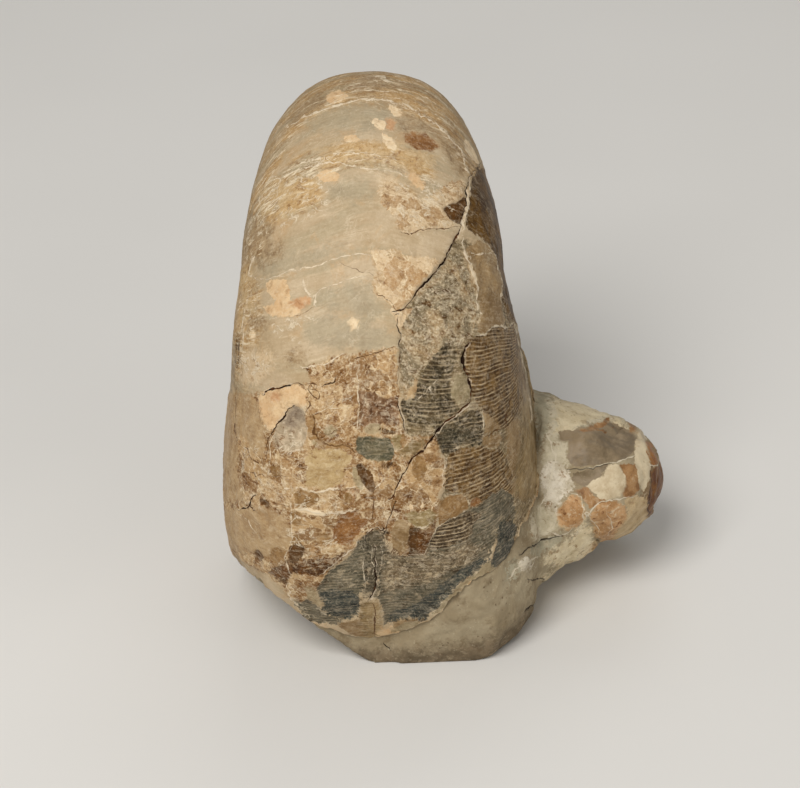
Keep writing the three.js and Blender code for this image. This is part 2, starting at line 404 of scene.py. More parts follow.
# The coiled shell: families of patches in the order they cover one another, and its lines. A line is its
# width and its depth in millimetres, then its points in the view, across and down in turn.
shellPatches = {
    "streak": family(
        {"sunk": -0.03, "waves": 10, "least": 0.25},
        leftShoulder=(256, 182, 272, 178, 290, 172, 307, 174, 321, 180, 327, 191, 323, 203, 315, 211,
          303, 215, 286, 217, 274, 223, 262, 221, 250, 215, 251, 199),
        crownBand=(307, 152, 339, 143, 368, 139, 399, 146, 421, 156, 440, 170, 436, 182, 421, 190,
          409, 178, 384, 174, 356, 170, 323, 174, 296, 182, 276, 186, 266, 182, 290, 162),
        upperArc=(256, 196, 266, 160, 290, 122, 325, 95, 370, 84, 410, 88, 440, 104, 465, 135, 482, 172,
          468, 176, 452, 150, 430, 126, 395, 108, 360, 102, 325, 114, 296, 132, 282, 158, 268, 196),
        cap=(300, 106, 330, 84, 365, 72, 405, 74, 440, 92, 470, 130, 484, 170, 466, 150, 440, 116,
          404, 100, 360, 98, 322, 108),
        upperRight=(386, 180, 410, 188, 424, 200, 404, 206, 384, 196),
        leftEdge=(240, 240, 262, 236, 262, 262, 240, 270),
        besideBlob=(240, 280, 262, 284, 262, 330, 236, 380, 232, 340),
    ),
    "mist": family(
        {"least": 0.3, "tones": ((156, 143, 117), (170, 156, 128)), "cloud": 4.5, "rough": 0.44,
         "grain": 0.005, "worn": 0.15, "ragged": 3.0, "soft": 0.9, "cover": 0.72},
        crown=(306, 124, 322, 112, 340, 107, 362, 103, 385, 107, 396, 116, 390, 126, 372, 131, 350, 131,
          330, 131, 312, 130),
        upMiddle=(326, 184, 345, 179, 365, 181, 375, 190, 370, 200, 345, 200, 330, 198),
        leftCurve=(256, 258, 275, 254, 300, 252, 328, 245, 345, 244, 343, 253, 318, 262, 296, 268,
          270, 276, 258, 272),
        belowFaint=(318, 293, 341, 284, 372, 280, 375, 300, 386, 312, 372, 320, 340, 312, 316, 307),
        pocket=(395, 519, 401, 517, 407, 521, 410, 530, 407, 542, 400, 552, 392, 549, 389, 537),
        besideLens=(354, 470, 360, 470, 361, 480, 356, 484),
        besideCrack=(457, 344, 464, 346, 464, 362, 462, 376, 455, 380, 458, 362),
        besideStar=(304, 322, 330, 314, 372, 322, 366, 344, 336, 350, 306, 342),
        lowRight=(352, 330, 372, 326, 392, 330, 393, 343, 382, 349, 366, 352, 354, 346),
    ),
    "dim": family(
        {"waves": 8, "least": 0.45, "tones": ((138, 112, 78), (159, 133, 98)), "cloud": 2.4, "rough": 0.46,
         "grain": 0.02, "worn": 0.5, "ragged": 3.0, "soft": 0.7, "cover": 0.75},
        leftEdge=(238, 236, 254, 228, 268, 232, 264, 256, 252, 272, 238, 274),
        ringOne=(397, 288, 403, 285, 410, 288, 410, 296, 403, 299, 397, 295),
        ringTwo=(387, 258, 392, 257, 393, 264, 388, 265),
        ringThree=(396, 260, 402, 259, 403, 266, 397, 267),
        ringFour=(405, 263, 411, 262, 412, 269, 406, 270),
        cap=(350, 92, 356, 79, 368, 76, 384, 80, 386, 90, 370, 96),
        capLeft=(300, 104, 318, 92, 326, 100, 312, 112, 296, 124, 288, 122),
        crownRight=(397, 122, 412, 117, 432, 124, 446, 137, 438, 139, 420, 130, 404, 133),
        rightShoulder=(442, 130, 452, 132, 466, 154, 472, 172, 462, 176, 450, 162, 442, 146),
        leftMiddle=(285, 354, 298, 347, 308, 352, 306, 365, 292, 367),
        brownLeft=(245, 317, 258, 314, 270, 322, 262, 331, 247, 330),
        leftShoulder=(246, 222, 256, 220, 274, 226, 270, 237, 254, 238, 246, 236),
        leftHollow=(245, 243, 264, 240, 286, 245, 282, 258, 262, 268, 246, 262),
    ),
    "milk": family(
        {"waves": 7, "least": 0.4, "tones": ((208, 180, 142), (220, 196, 160)), "cloud": 2.4,
         "grain": 0.02, "lirae": 0.05, "worn": 0.5, "ragged": 3.0, "soft": 0.7, "cover": 0.7,
         "pale": (230, 214, 186)},
        fans=(244, 356, 250, 350, 270, 352, 274, 364, 266, 376, 258, 386, 240, 384, 238, 366),
        crownFoot=(378, 178, 392, 176, 404, 186, 396, 194, 382, 190),
    ),
    "gold": family(
        {"waves": 8, "least": 0.4, "tones": ((190, 156, 106), (206, 175, 128)), "grain": 0.02,
         "lirae": 0.12, "worn": 0.7, "ragged": 3.0, "soft": 0.8, "cover": 0.6, "pale": (224, 202, 162)},
        crownBand=(318, 150, 345, 144, 385, 143, 415, 148, 438, 158, 430, 170, 405, 168, 380, 166,
          350, 164, 322, 170),
        leftShoulder=(259, 188, 280, 178, 300, 176, 321, 182, 318, 202, 300, 212, 276, 220, 262, 216),
        edge=(236, 268, 252, 262, 256, 300, 246, 330, 236, 330),
    ),
    "frost": family(
        {"sunk": -0.1, "least": 0.55, "tones": ((178, 146, 106), (200, 173, 135)), "rough": 0.6,
         "grain": 0.03, "lirae": 0.08, "worn": 0.45, "ragged": 2.0, "pale": (230, 216, 190),
         "broken": ((168, 132, 90), (214, 190, 154))},
        crackle=(376, 187, 392, 184, 409, 191, 421, 201, 437, 191, 450, 182, 464, 180, 466, 199, 450, 203,
          442, 210, 450, 219, 456, 227, 429, 229, 405, 234, 394, 228, 398, 219, 382, 205),
    ),
    "ground": family(
        {"sunk": 0.3, "waves": 22, "tones": ((108, 92, 64), (144, 126, 94)), "rough": 0.52, "grain": 0.04,
         "lirae": 0.4, "worn": 0.5, "rim": 0.5, "pale": (188, 168, 134)},
        rightSide=(400, 318, 409, 304, 443, 263, 456, 240, 470, 238, 505, 300, 525, 340, 541, 410,
          546, 470, 540, 510, 520, 540, 497, 540, 450, 520, 441, 500, 447, 481, 444, 452, 426, 447,
          413, 437, 404, 430, 402, 405, 400, 355),
    ),
    "sand": family(
        {"sunk": -0.1, "waves": 11, "least": 0.32, "tones": ((136, 100, 60), (177, 142, 99)), "rough": 0.6,
         "grain": 0.04, "lirae": 0.12, "worn": 0.8, "ragged": 2.0, "pale": (222, 198, 158),
         "broken": ((132, 94, 54), (202, 170, 126))},
        central=(306, 367, 340, 356, 398, 346, 398, 426, 358, 435, 333, 435, 314, 426, 306, 405, 310, 384),
        lowerLeft=(228, 395, 257, 394, 280, 386, 305, 383, 330, 380, 356, 372, 398, 355, 398, 387,
          404, 430, 402, 437, 441, 437, 441, 452, 430, 480, 440, 500, 441, 513, 434, 528, 425, 556,
          400, 556, 385, 535, 372, 530, 363, 540, 340, 563, 300, 580, 285, 590, 268, 575, 240, 560,
          224, 546, 221, 500, 225, 430),
        aboveFoot=(284, 574, 318, 574, 332, 566, 326, 582, 317, 592, 318, 602, 300, 602, 286, 592),
    ),
    "tan": family(
        {"least": 0.4, "tones": ((163, 133, 95), (182, 153, 113)), "cloud": 4.5, "rough": 0.46,
         "grain": 0.012, "lirae": 0.05, "ragged": 2.0},
        leftFlank=(222, 392, 250, 394, 262, 408, 266, 430, 264, 458, 252, 448, 240, 440, 236, 470,
          246, 500, 216, 500),
        lowFlank=(214, 512, 234, 509, 251, 508, 273, 508, 283, 517, 292, 526, 292, 534, 288, 546, 276, 547,
          268, 558, 256, 553, 239, 552, 225, 546, 212, 535),
        middle=(406, 470, 412, 462, 422, 460, 427, 468, 425, 481, 415, 488, 406, 486),
        besideSlate=(401, 362, 410, 368, 418, 380, 416, 398, 402, 402),
    ),
    "crust": family(
        {"sunk": -0.12, "tones": ((180, 149, 109), (198, 171, 134)), "cloud": 2.4, "rough": 0.65,
         "grain": 0.025, "lirae": 0.05, "worn": 0.4, "pale": (230, 212, 180),
         "broken": ((180, 140, 94), (222, 196, 158))},
        ringed=(372, 248, 396, 250, 409, 256, 425, 257, 441, 261, 431, 272, 421, 282, 413, 293, 404, 304,
          396, 311, 388, 302, 373, 292, 374, 270),
        belowTip=(388, 312, 402, 310, 414, 308, 422, 314, 408, 322, 402, 332, 396, 318),
    ),
    "peach": family(
        {"sunk": -0.05, "waves": 6, "least": 0.55, "tones": ((208, 172, 128), (220, 190, 148)),
         "cloud": 2.4, "lirae": 0.04},
        wedge=(258, 395, 268, 390, 278, 388, 290, 385, 300, 385, 307, 389, 307, 399, 304, 406, 294, 405,
          290, 408, 285, 415, 279, 424, 272, 432, 268, 430, 264, 421, 260, 406),
        underFoot=(371, 622, 384, 628, 408, 626, 400, 640, 372, 642),
        leftBlob=(264, 283, 272, 279, 286, 280, 290, 287, 290, 296, 293, 302, 303, 305, 296, 314, 284, 317,
          270, 316, 264, 308, 274, 304, 276, 299, 268, 293),
        crest=(405, 172, 414, 172, 427, 183, 424, 191, 414, 187, 407, 179),
        crestLeft=(315, 175, 324, 171, 338, 173, 338, 180, 324, 182),
        crownFive=(342, 138, 350, 135, 360, 137, 361, 142, 350, 144),
        crownOne=(325, 96, 330, 91, 340, 91, 348, 95, 342, 101, 330, 102),
    ),
    "blush": family(
        {"waves": 4, "least": 0.6, "tones": ((184, 138, 96), (202, 160, 118)), "lirae": 0.04, "worn": 0.2,
         "soft": 0.3},
        onWedge=(269, 394, 276, 394, 281, 397, 279, 401, 272, 401),
        blobTail=(289, 301, 300, 297, 312, 298, 311, 304, 300, 308, 291, 306),
        crown=(385, 119, 391, 118, 395, 123, 393, 129, 387, 128),
        tick=(346, 491, 353, 491, 352, 503, 348, 502),
    ),
    "toffee": family(
        {"sunk": 0.05, "waves": 7, "tones": ((140, 104, 64), (176, 141, 98)), "rough": 0.52, "grain": 0.03,
         "lirae": 0.12, "worn": 0.6, "ragged": 1.8, "pale": (218, 192, 152),
         "broken": ((124, 90, 54), (196, 162, 116))},
        middle=(424, 451, 430, 446, 444, 456, 447, 470, 443, 486, 437, 500, 430, 504, 404, 503, 397, 494,
          402, 481, 409, 467, 413, 458),
        upperSquare=(357, 362, 375, 356, 397, 352, 398, 388, 385, 390, 360, 388, 355, 374),
        beside=(294, 512, 338, 512, 336, 545, 300, 550, 292, 540),
        leftSpeckles=(238, 440, 246, 446, 262, 462, 270, 478, 256, 482, 244, 470),
        aboveFork=(374, 482, 386, 481, 397, 484, 394, 497, 380, 498, 373, 492),
        ruddy=(236, 430, 243, 436, 254, 452, 267, 462, 267, 473, 256, 471, 245, 465, 238, 452),
    ),
    "olive": family(
        {"sunk": 0.05, "waves": 7, "least": 0.6, "tones": ((170, 142, 98), (188, 161, 116)), "cloud": 2.4,
         "grain": 0.012, "lirae": 0.03, "worn": 0.45, "ragged": 1.8, "pale": (212, 192, 152)},
        left=(309, 450, 331, 448, 348, 453, 352, 460, 347, 467, 343, 477, 341, 484, 324, 488, 307, 486,
          305, 478, 307, 467, 305, 460),
    ),
    "clay": family(
        {"sunk": -0.05, "least": 0.45, "tones": ((133, 106, 70), (163, 136, 98)), "cloud": 4.5,
         "rough": 0.46, "grain": 0.008, "lirae": 0.08, "worn": 0.25, "rim": 0.5},
        rightPlate=(465, 252, 470, 246, 480, 240, 488, 246, 495, 257, 500, 278, 503, 306, 505, 318,
          505, 326, 498, 326, 489, 331, 483, 335, 477, 333, 480, 322, 481, 313, 479, 300, 474, 288,
          468, 268),
        besideLens=(484, 408, 498, 410, 507, 408, 505, 430, 494, 431, 485, 434),
        belowLens=(484, 437, 500, 434, 506, 440, 500, 449, 484, 447),
        column=(507, 424, 518, 412, 523, 426, 524, 446, 520, 470, 516, 500, 508, 496, 511, 462),
        belowFootLeft=(336, 624, 350, 621, 369, 620, 370, 639, 352, 636),
        belowFootRight=(392, 620, 410, 619, 431, 617, 424, 627, 398, 632),
        cell=(396, 522, 404, 519, 409, 526, 409, 540, 405, 551, 397, 552, 391, 542, 392, 530),
    ),
    "mottle": family(
        {"sunk": 0.1, "waves": 10, "least": 0.6, "tones": ((134, 120, 94), (174, 148, 110)), "cloud": 4.5,
         "rough": 0.62, "grain": 0.06, "lirae": 0.08, "worn": 0.8, "rim": 0.6, "pale": (200, 184, 154)},
        greySlope=(456, 253, 463, 258, 470, 275, 476, 290, 481, 305, 482, 318, 474, 330, 468, 340,
          460, 345, 450, 345, 440, 352, 430, 360, 420, 372, 412, 385, 405, 400, 400, 387, 400, 355,
          401, 332, 404, 322, 415, 306, 418, 292, 427, 281, 443, 263, 451, 254),
    ),
    "umber": family(
        {"sunk": -0.05, "waves": 13, "least": 0.42, "seed": 17, "tones": ((81, 56, 26), (130, 100, 58)),
         "grain": 0.02, "lirae": 1.0, "worn": 0.35, "rim": 0.5, "pale": (176, 148, 104)},
        upper=(471, 340, 476, 336, 484, 335, 490, 331, 499, 326, 505, 326, 509, 328, 512, 325, 516, 321,
          520, 335, 523, 355, 526, 366, 529, 384, 527, 405, 518, 418, 505, 430, 487, 412, 478, 403,
          473, 388, 468, 370, 467, 353),
        lower=(447, 459, 452, 452, 463, 448, 484, 447, 500, 449, 510, 456, 499, 475, 488, 490, 478, 502,
          470, 503, 463, 494, 449, 493, 443, 486, 445, 472),
        low=(470, 505, 486, 489, 500, 475, 508, 462, 514, 470, 512, 492, 500, 500, 484, 510),
    ),
    "slate": family(
        {"sunk": 0.15, "least": 0.62, "seed": 16, "tones": ((52, 44, 29), (94, 80, 56)), "grain": 0.024,
         "lirae": 0.72, "worn": 0.5, "pale": (166, 150, 118)},
        besideFork=(457, 342, 459, 359, 455, 372, 451, 384, 453, 401, 462, 408, 438, 426, 415, 426,
          404, 418, 402, 401, 417, 399, 419, 378, 436, 355, 447, 344),
        lens=(438, 431, 457, 418, 474, 409, 485, 411, 485, 446, 463, 445, 449, 456, 438, 445),
    ),
    "flank": family(
        {"sunk": -0.05, "waves": 12, "least": 0.4, "tones": ((122, 100, 64), (160, 134, 92)), "cloud": 4.5,
         "rough": 0.4, "lirae": 0.3, "ragged": 2.6, "soft": 0.4},
        right=(522, 400, 528, 380, 534, 380, 545, 420, 548, 455, 546, 490, 528, 502, 518, 498, 516, 470,
          524, 446, 522, 426),
        aboveDiagonal=(398, 447, 411, 439, 428, 441, 424, 447, 413, 455, 400, 456),
        siphuncleFoot=(360, 598, 366, 602, 376, 598, 381, 607, 382, 626, 375, 640, 366, 640, 360, 622),
    ),
    "foot": family(
        {"sunk": 0.3, "waves": 12, "least": 0.65, "tones": ((86, 81, 65), (113, 105, 86)), "grain": 0.015,
         "lirae": 0.4, "worn": 0.5, "rim": 0.6, "pale": (188, 168, 136)},
        rightFan=(437, 528, 443, 523, 454, 517, 462, 516, 471, 510, 486, 508, 497, 530, 497, 540, 491, 554,
          486, 562, 479, 570, 457, 584, 448, 595, 434, 611, 431, 618, 399, 620, 384, 625, 383, 614,
          378, 590, 377, 578, 383, 563, 388, 559, 402, 557, 425, 557, 431, 541),
        leftFan=(369, 530, 363, 541, 358, 541, 352, 552, 346, 560, 334, 569, 324, 580, 317, 589, 318, 596,
          320, 604, 326, 612, 331, 619, 346, 620, 356, 619, 359, 609, 357, 598, 363, 591, 368, 575,
          370, 550),
        strip=(292, 598, 301, 603, 308, 600, 319, 608, 330, 618, 342, 621, 335, 626, 325, 626, 312, 624,
          304, 617, 296, 607),
        besideStrip=(476, 514, 490, 500, 504, 488, 516, 498, 520, 520, 503, 526, 494, 545, 486, 556,
          474, 560, 466, 548, 478, 530),
    ),
    "ribbed": family(
        {"least": 0.6, "tones": ((70, 56, 38), (112, 93, 68)), "grain": 0.03, "lirae": 1.0, "ragged": 0.8,
         "pale": (170, 148, 114)},
        footRight=(437, 529, 443, 524, 454, 518, 462, 517, 474, 512, 484, 516, 478, 528, 470, 540,
          450, 548, 428, 554),
    ),
    "weathered": family(
        {"least": 0.55, "tones": ((89, 75, 54), (135, 117, 90)), "rough": 0.55, "grain": 0.04,
         "lirae": 0.3, "worn": 0.7, "ragged": 3.0, "soft": 0.5, "cover": 0.8, "pale": (206, 184, 148)},
        footMiddle=(386, 562, 402, 558, 428, 558, 446, 552, 470, 544, 486, 548, 474, 562, 452, 574,
          430, 584, 404, 588, 384, 594, 380, 578),
        footUpper=(384, 545, 396, 554, 400, 562, 388, 566, 382, 556),
    ),
    "shade": family(
        {"sunk": 0.05, "waves": 8, "least": 0.75, "tones": ((46, 43, 31), (64, 58, 43)), "grain": 0.015,
         "lirae": 0.25, "worn": 0.4, "ragged": 3.0, "soft": 0.5, "cover": 0.9, "pale": (146, 134, 108)},
        besideDiagonal=(441, 430, 454, 429, 470, 431, 484, 436, 484, 441, 463, 442, 452, 450, 445, 452,
          438, 443),
        knob=(369, 531, 377, 528, 386, 531, 385, 545, 388, 556, 380, 575, 376, 596, 364, 596, 362, 590,
          366, 570, 364, 545),
    ),
    "rust": family(
        {"sunk": 0.06, "waves": 5, "least": 0.62, "tones": ((75, 45, 14), (107, 67, 26)), "rough": 0.46,
         "grain": 0.03, "worn": 0.5, "rim": 0.5, "pale": (190, 156, 114)},
        leftBand=(270, 573, 276, 567, 290, 559, 300, 563, 310, 560, 324, 558, 336, 556, 344, 549, 346, 553,
          342, 560, 331, 568, 324, 572, 319, 577, 307, 575, 294, 572, 288, 580, 286, 588, 278, 580),
        block=(409, 528, 418, 527, 425, 527, 435, 522, 434, 532, 431, 545, 427, 556, 409, 556),
    ),
    "plum": family(
        {"sunk": 0.06, "waves": 7, "least": 0.65, "tones": ((100, 70, 46), (136, 102, 71)), "rough": 0.46,
         "grain": 0.035, "worn": 0.7, "ragged": 0.8, "pale": (196, 172, 142)},
        lowerSquare=(359, 391, 374, 392, 384, 398, 398, 396, 400, 426, 381, 422, 376, 427, 359, 425),
    ),
    "ember": family(
        {"sunk": 0.08, "waves": 5, "least": 0.65, "tones": ((121, 79, 40), (143, 99, 55)), "rough": 0.42,
         "grain": 0.015, "lirae": 0.05, "worn": 0.35, "ragged": 0.8, "rim": 0.4, "pale": (196, 156, 110)},
        heart=(341, 513, 348, 508, 356, 511, 360, 516, 367, 518, 366, 524, 359, 528, 358, 535, 348, 543,
          340, 543, 336, 536, 332, 530, 337, 524),
        footStripe=(471, 500, 482, 498, 484, 503, 472, 509),
        almond=(403, 134, 412, 131, 424, 133, 434, 139, 441, 149, 430, 151, 417, 148, 407, 142),
        underHeart=(334, 530, 344, 529, 357, 535, 351, 544, 340, 545, 332, 540),
    ),
    "nut": family(
        {"sunk": 0.06, "waves": 5, "least": 0.55, "tones": ((130, 97, 56), (158, 124, 81)), "rough": 0.48,
         "grain": 0.012, "lirae": 0.03, "worn": 0.2, "ragged": 0.45, "rim": 0.7, "pale": (204, 172, 128)},
        oval=(293, 494, 300, 490, 312, 490, 319, 494, 318, 503, 309, 508, 298, 507),
        belowRidge=(292, 513, 298, 510, 303, 516, 301, 526, 295, 527, 291, 520),
        triangle=(344, 493, 352, 492, 353, 503, 348, 506, 345, 499),
        underHeart=(317, 536, 325, 533, 333, 538, 331, 546, 321, 547),
        column=(291, 534, 297, 533, 299, 545, 293, 548),
        smudge=(413, 458, 422, 456, 427, 466, 425, 478, 418, 482, 412, 472),
        channel=(309, 411, 314, 415, 317, 423, 316, 432, 320, 438, 328, 442, 340, 445, 351, 446, 351, 450,
          336, 450, 322, 448, 313, 443, 308, 436, 307, 427, 310, 419),
        nearTile=(397, 436, 404, 434, 408, 442, 403, 449, 396, 450),
        lowSpot=(270, 548, 280, 546, 288, 550, 287, 560, 279, 568, 271, 563),
        orangeCell=(449, 496, 463, 495, 470, 505, 468, 511, 461, 516, 449, 521, 439, 526, 437, 510,
          440, 502),
        leftSpot=(271, 465, 281, 465, 282, 476, 272, 476),
    ),
    "sage": family(
        {"sunk": 0.05, "waves": 4, "least": 0.65, "tones": ((147, 132, 100), (168, 152, 119)),
         "rough": 0.48, "lirae": 0.03, "worn": 0.4, "ragged": 0.6, "cover": 0.8, "rim": 0.6},
        besideLens=(353, 468, 358, 466, 361, 474, 364, 486, 360, 491, 354, 482),
        pocket=(325, 428, 333, 425, 338, 430, 334, 436, 326, 435),
        underSquare=(368, 424, 380, 424, 382, 432, 372, 434, 362, 431),
        tanTriangle=(455, 378, 461, 373, 468, 376, 473, 396, 467, 401, 459, 405, 451, 398),
        footWedge=(304, 586, 314, 588, 318, 596, 320, 607, 310, 600),
        footMargin=(490, 560, 498, 572, 482, 590, 464, 604, 450, 618, 430, 630, 404, 636, 390, 632,
          400, 624, 428, 620, 434, 613, 444, 601, 455, 590, 467, 579, 480, 570),
    ),
    "bark": family(
        {"sunk": 0.1, "waves": 4, "least": 0.75, "tones": ((68, 42, 14), (96, 63, 28)), "lirae": 0.05,
         "worn": 0.2, "ragged": 0.3},
        tileShadow=(381, 462, 386, 462, 386, 468, 383, 469),
        tileShadowTwo=(387, 463, 393, 462, 391, 468, 387, 469),
        stain=(258, 499, 263, 498, 269, 502, 273, 508, 266, 507, 260, 503),
        lowLeft=(289, 546, 298, 544, 305, 549, 303, 556, 299, 562, 290, 562),
        leftDot=(238, 387, 241, 386, 240, 390, 237, 389),
        underCells=(377, 427, 386, 428, 397, 430, 396, 434, 384, 433),
        lens=(355, 462, 361, 462, 368, 469, 374, 477, 376, 485, 374, 493, 367, 490, 361, 480),
        blockLeft=(408, 528, 416, 528, 418, 557, 408, 557),
        dot=(254, 550, 260, 549, 265, 555, 261, 561, 255, 559),
        darkTriangle=(443, 211, 450, 203, 460, 202, 467, 197, 464, 215, 462, 227, 451, 220),
    ),
    "pearl": family(
        {"sunk": 0.3, "waves": 8, "least": 0.75, "tones": ((163, 144, 117), (196, 175, 146)),
         "rough": 0.38, "lirae": 0.03, "worn": 0.7, "ragged": 0.6, "pale": (220, 204, 176)},
        scar=(294, 405, 302, 407, 305, 414, 306, 424, 307, 433, 305, 443, 300, 450, 283, 450, 274, 445,
          273, 435, 279, 424, 285, 415, 289, 409),
    ),
    "violet": family(
        {"sunk": 0.05, "waves": 6, "least": 0.65, "tones": ((120, 104, 88), (148, 131, 110)), "cloud": 2.4,
         "rough": 0.4, "lirae": 0.05, "worn": 0.25, "ragged": 1.6, "soft": 0.6, "cover": 0.85},
        scarTop=(294, 405, 302, 407, 304, 415, 303, 424, 295, 428, 285, 427, 281, 423, 287, 413),
    ),
    "butter": family(
        {"sunk": -0.03, "waves": 4, "least": 0.62, "tones": ((133, 113, 74), (152, 131, 90)),
         "grain": 0.02, "lirae": 0.05, "worn": 0.5, "ragged": 0.9},
        besideTile=(391, 433, 400, 434, 401, 448, 396, 450),
        knot=(312, 440, 318, 441, 319, 446, 314, 446),
        crescent=(404, 513, 411, 509, 420, 513, 430, 508, 437, 513, 435, 521, 427, 528, 416, 528,
          408, 523),
    ),
    "teal": family(
        {"sunk": 0.2, "waves": 6, "least": 0.75, "tones": ((80, 77, 59), (104, 96, 72)), "grain": 0.012,
         "lirae": 0.3, "worn": 0.2, "ragged": 0.3, "pale": (146, 140, 116)},
        tile=(358, 437, 372, 436, 389, 437, 393, 443, 395, 453, 391, 460, 381, 461, 365, 458, 356, 450,
          357, 443),
    ),
    "steel": family(
        {"sunk": 0.05, "waves": 6, "least": 0.75, "tones": ((46, 51, 48), (64, 69, 64)), "grain": 0.015,
         "lirae": 0.25, "worn": 0.35, "ragged": 1.6, "soft": 0.2, "cover": 0.95, "pale": (146, 138, 116)},
        strip=(503, 524, 515, 521, 520, 529, 518, 545, 514, 558, 507, 573, 500, 574, 495, 568, 490, 563,
          494, 553, 498, 539),
        footRight=(489, 560, 480, 570, 466, 580, 454, 590, 443, 601, 433, 613, 426, 619, 405, 620,
          388, 624, 389, 614, 404, 611, 420, 604, 434, 594, 449, 580, 466, 568, 482, 558),
        footLeft=(318, 594, 335, 591, 352, 592, 360, 600, 358, 612, 350, 619, 333, 618, 325, 611),
    ),
    # partly painted shade: dark amber strips along the shell's right and left edges, its own colour made
    # darker where the edges turn away from the lamps
    "amber": family(
        {"sunk": 0.1, "waves": 14, "tones": ((62, 38, 6), (106, 74, 24)), "cloud": 4.5, "rough": 0.46,
         "grain": 0.004, "lirae": 0.15, "worn": 0.15, "ragged": 2.0, "pale": (160, 128, 84)},
        rightEdge=(470, 182, 478, 168, 492, 170, 505, 215, 517, 254, 525, 300, 530, 325, 514, 322,
          510, 312, 504, 300, 500, 276, 495, 256, 488, 244, 478, 236, 466, 228, 468, 203),
        leftRim=(236, 334, 240, 333, 240, 368, 236, 370),
    ),
    "cream": family(
        {"waves": 3, "least": 0.65, "tones": ((220, 192, 152), (236, 214, 178)), "lirae": 0.03,
         "ragged": 0.3},
        star=(345, 321, 350, 321, 353, 316, 356, 321, 362, 320, 358, 325, 361, 331, 355, 328, 350, 332,
          351, 326),
        # painted highlight: a pale band of light down the crown's right shoulder
        rightBand=(463, 139, 469, 142, 477, 155, 480, 164, 473, 161, 466, 150),
        bar=(469, 264, 474, 266, 479, 283, 475, 284),
        edgeSpot=(250, 330, 255, 332, 254, 340, 250, 338),
        crownTwo=(388, 105, 395, 105, 402, 112, 402, 118, 393, 116),
        crownThree=(370, 121, 376, 118, 385, 121, 386, 128, 380, 131, 373, 127),
        crownFour=(383, 133, 390, 136, 398, 146, 396, 150, 388, 147, 383, 141),
        underRidge=(294, 508, 307, 507, 318, 510, 330, 513, 318, 516, 304, 513),
        crystalOne=(409, 504, 413, 503, 414, 508, 410, 509),
        crystalTwo=(418, 505, 422, 503, 424, 507, 420, 509),
        crystalThree=(430, 505, 434, 505, 434, 509, 431, 509),
    ),
    "web": family(
        {"waves": 12, "least": 0.35},
        leftSpeckles=(236, 436, 262, 446, 278, 476, 262, 492, 240, 480),
        scarFoot=(276, 428, 304, 430, 306, 456, 276, 458),
        lowLeft=(292, 490, 340, 500, 340, 545, 296, 556, 284, 540),
        besideCrackle=(392, 180, 420, 184, 455, 180, 460, 232, 430, 236, 398, 236, 392, 210),
        leftShoulder=(248, 176, 330, 170, 330, 215, 290, 225, 244, 245),
        leftMiddle=(266, 318, 290, 316, 322, 314, 322, 340, 290, 348, 264, 340),
        fans=(236, 352, 272, 350, 272, 370, 240, 384),
        foot=(292, 596, 340, 616, 330, 628, 300, 620),
    ),
}

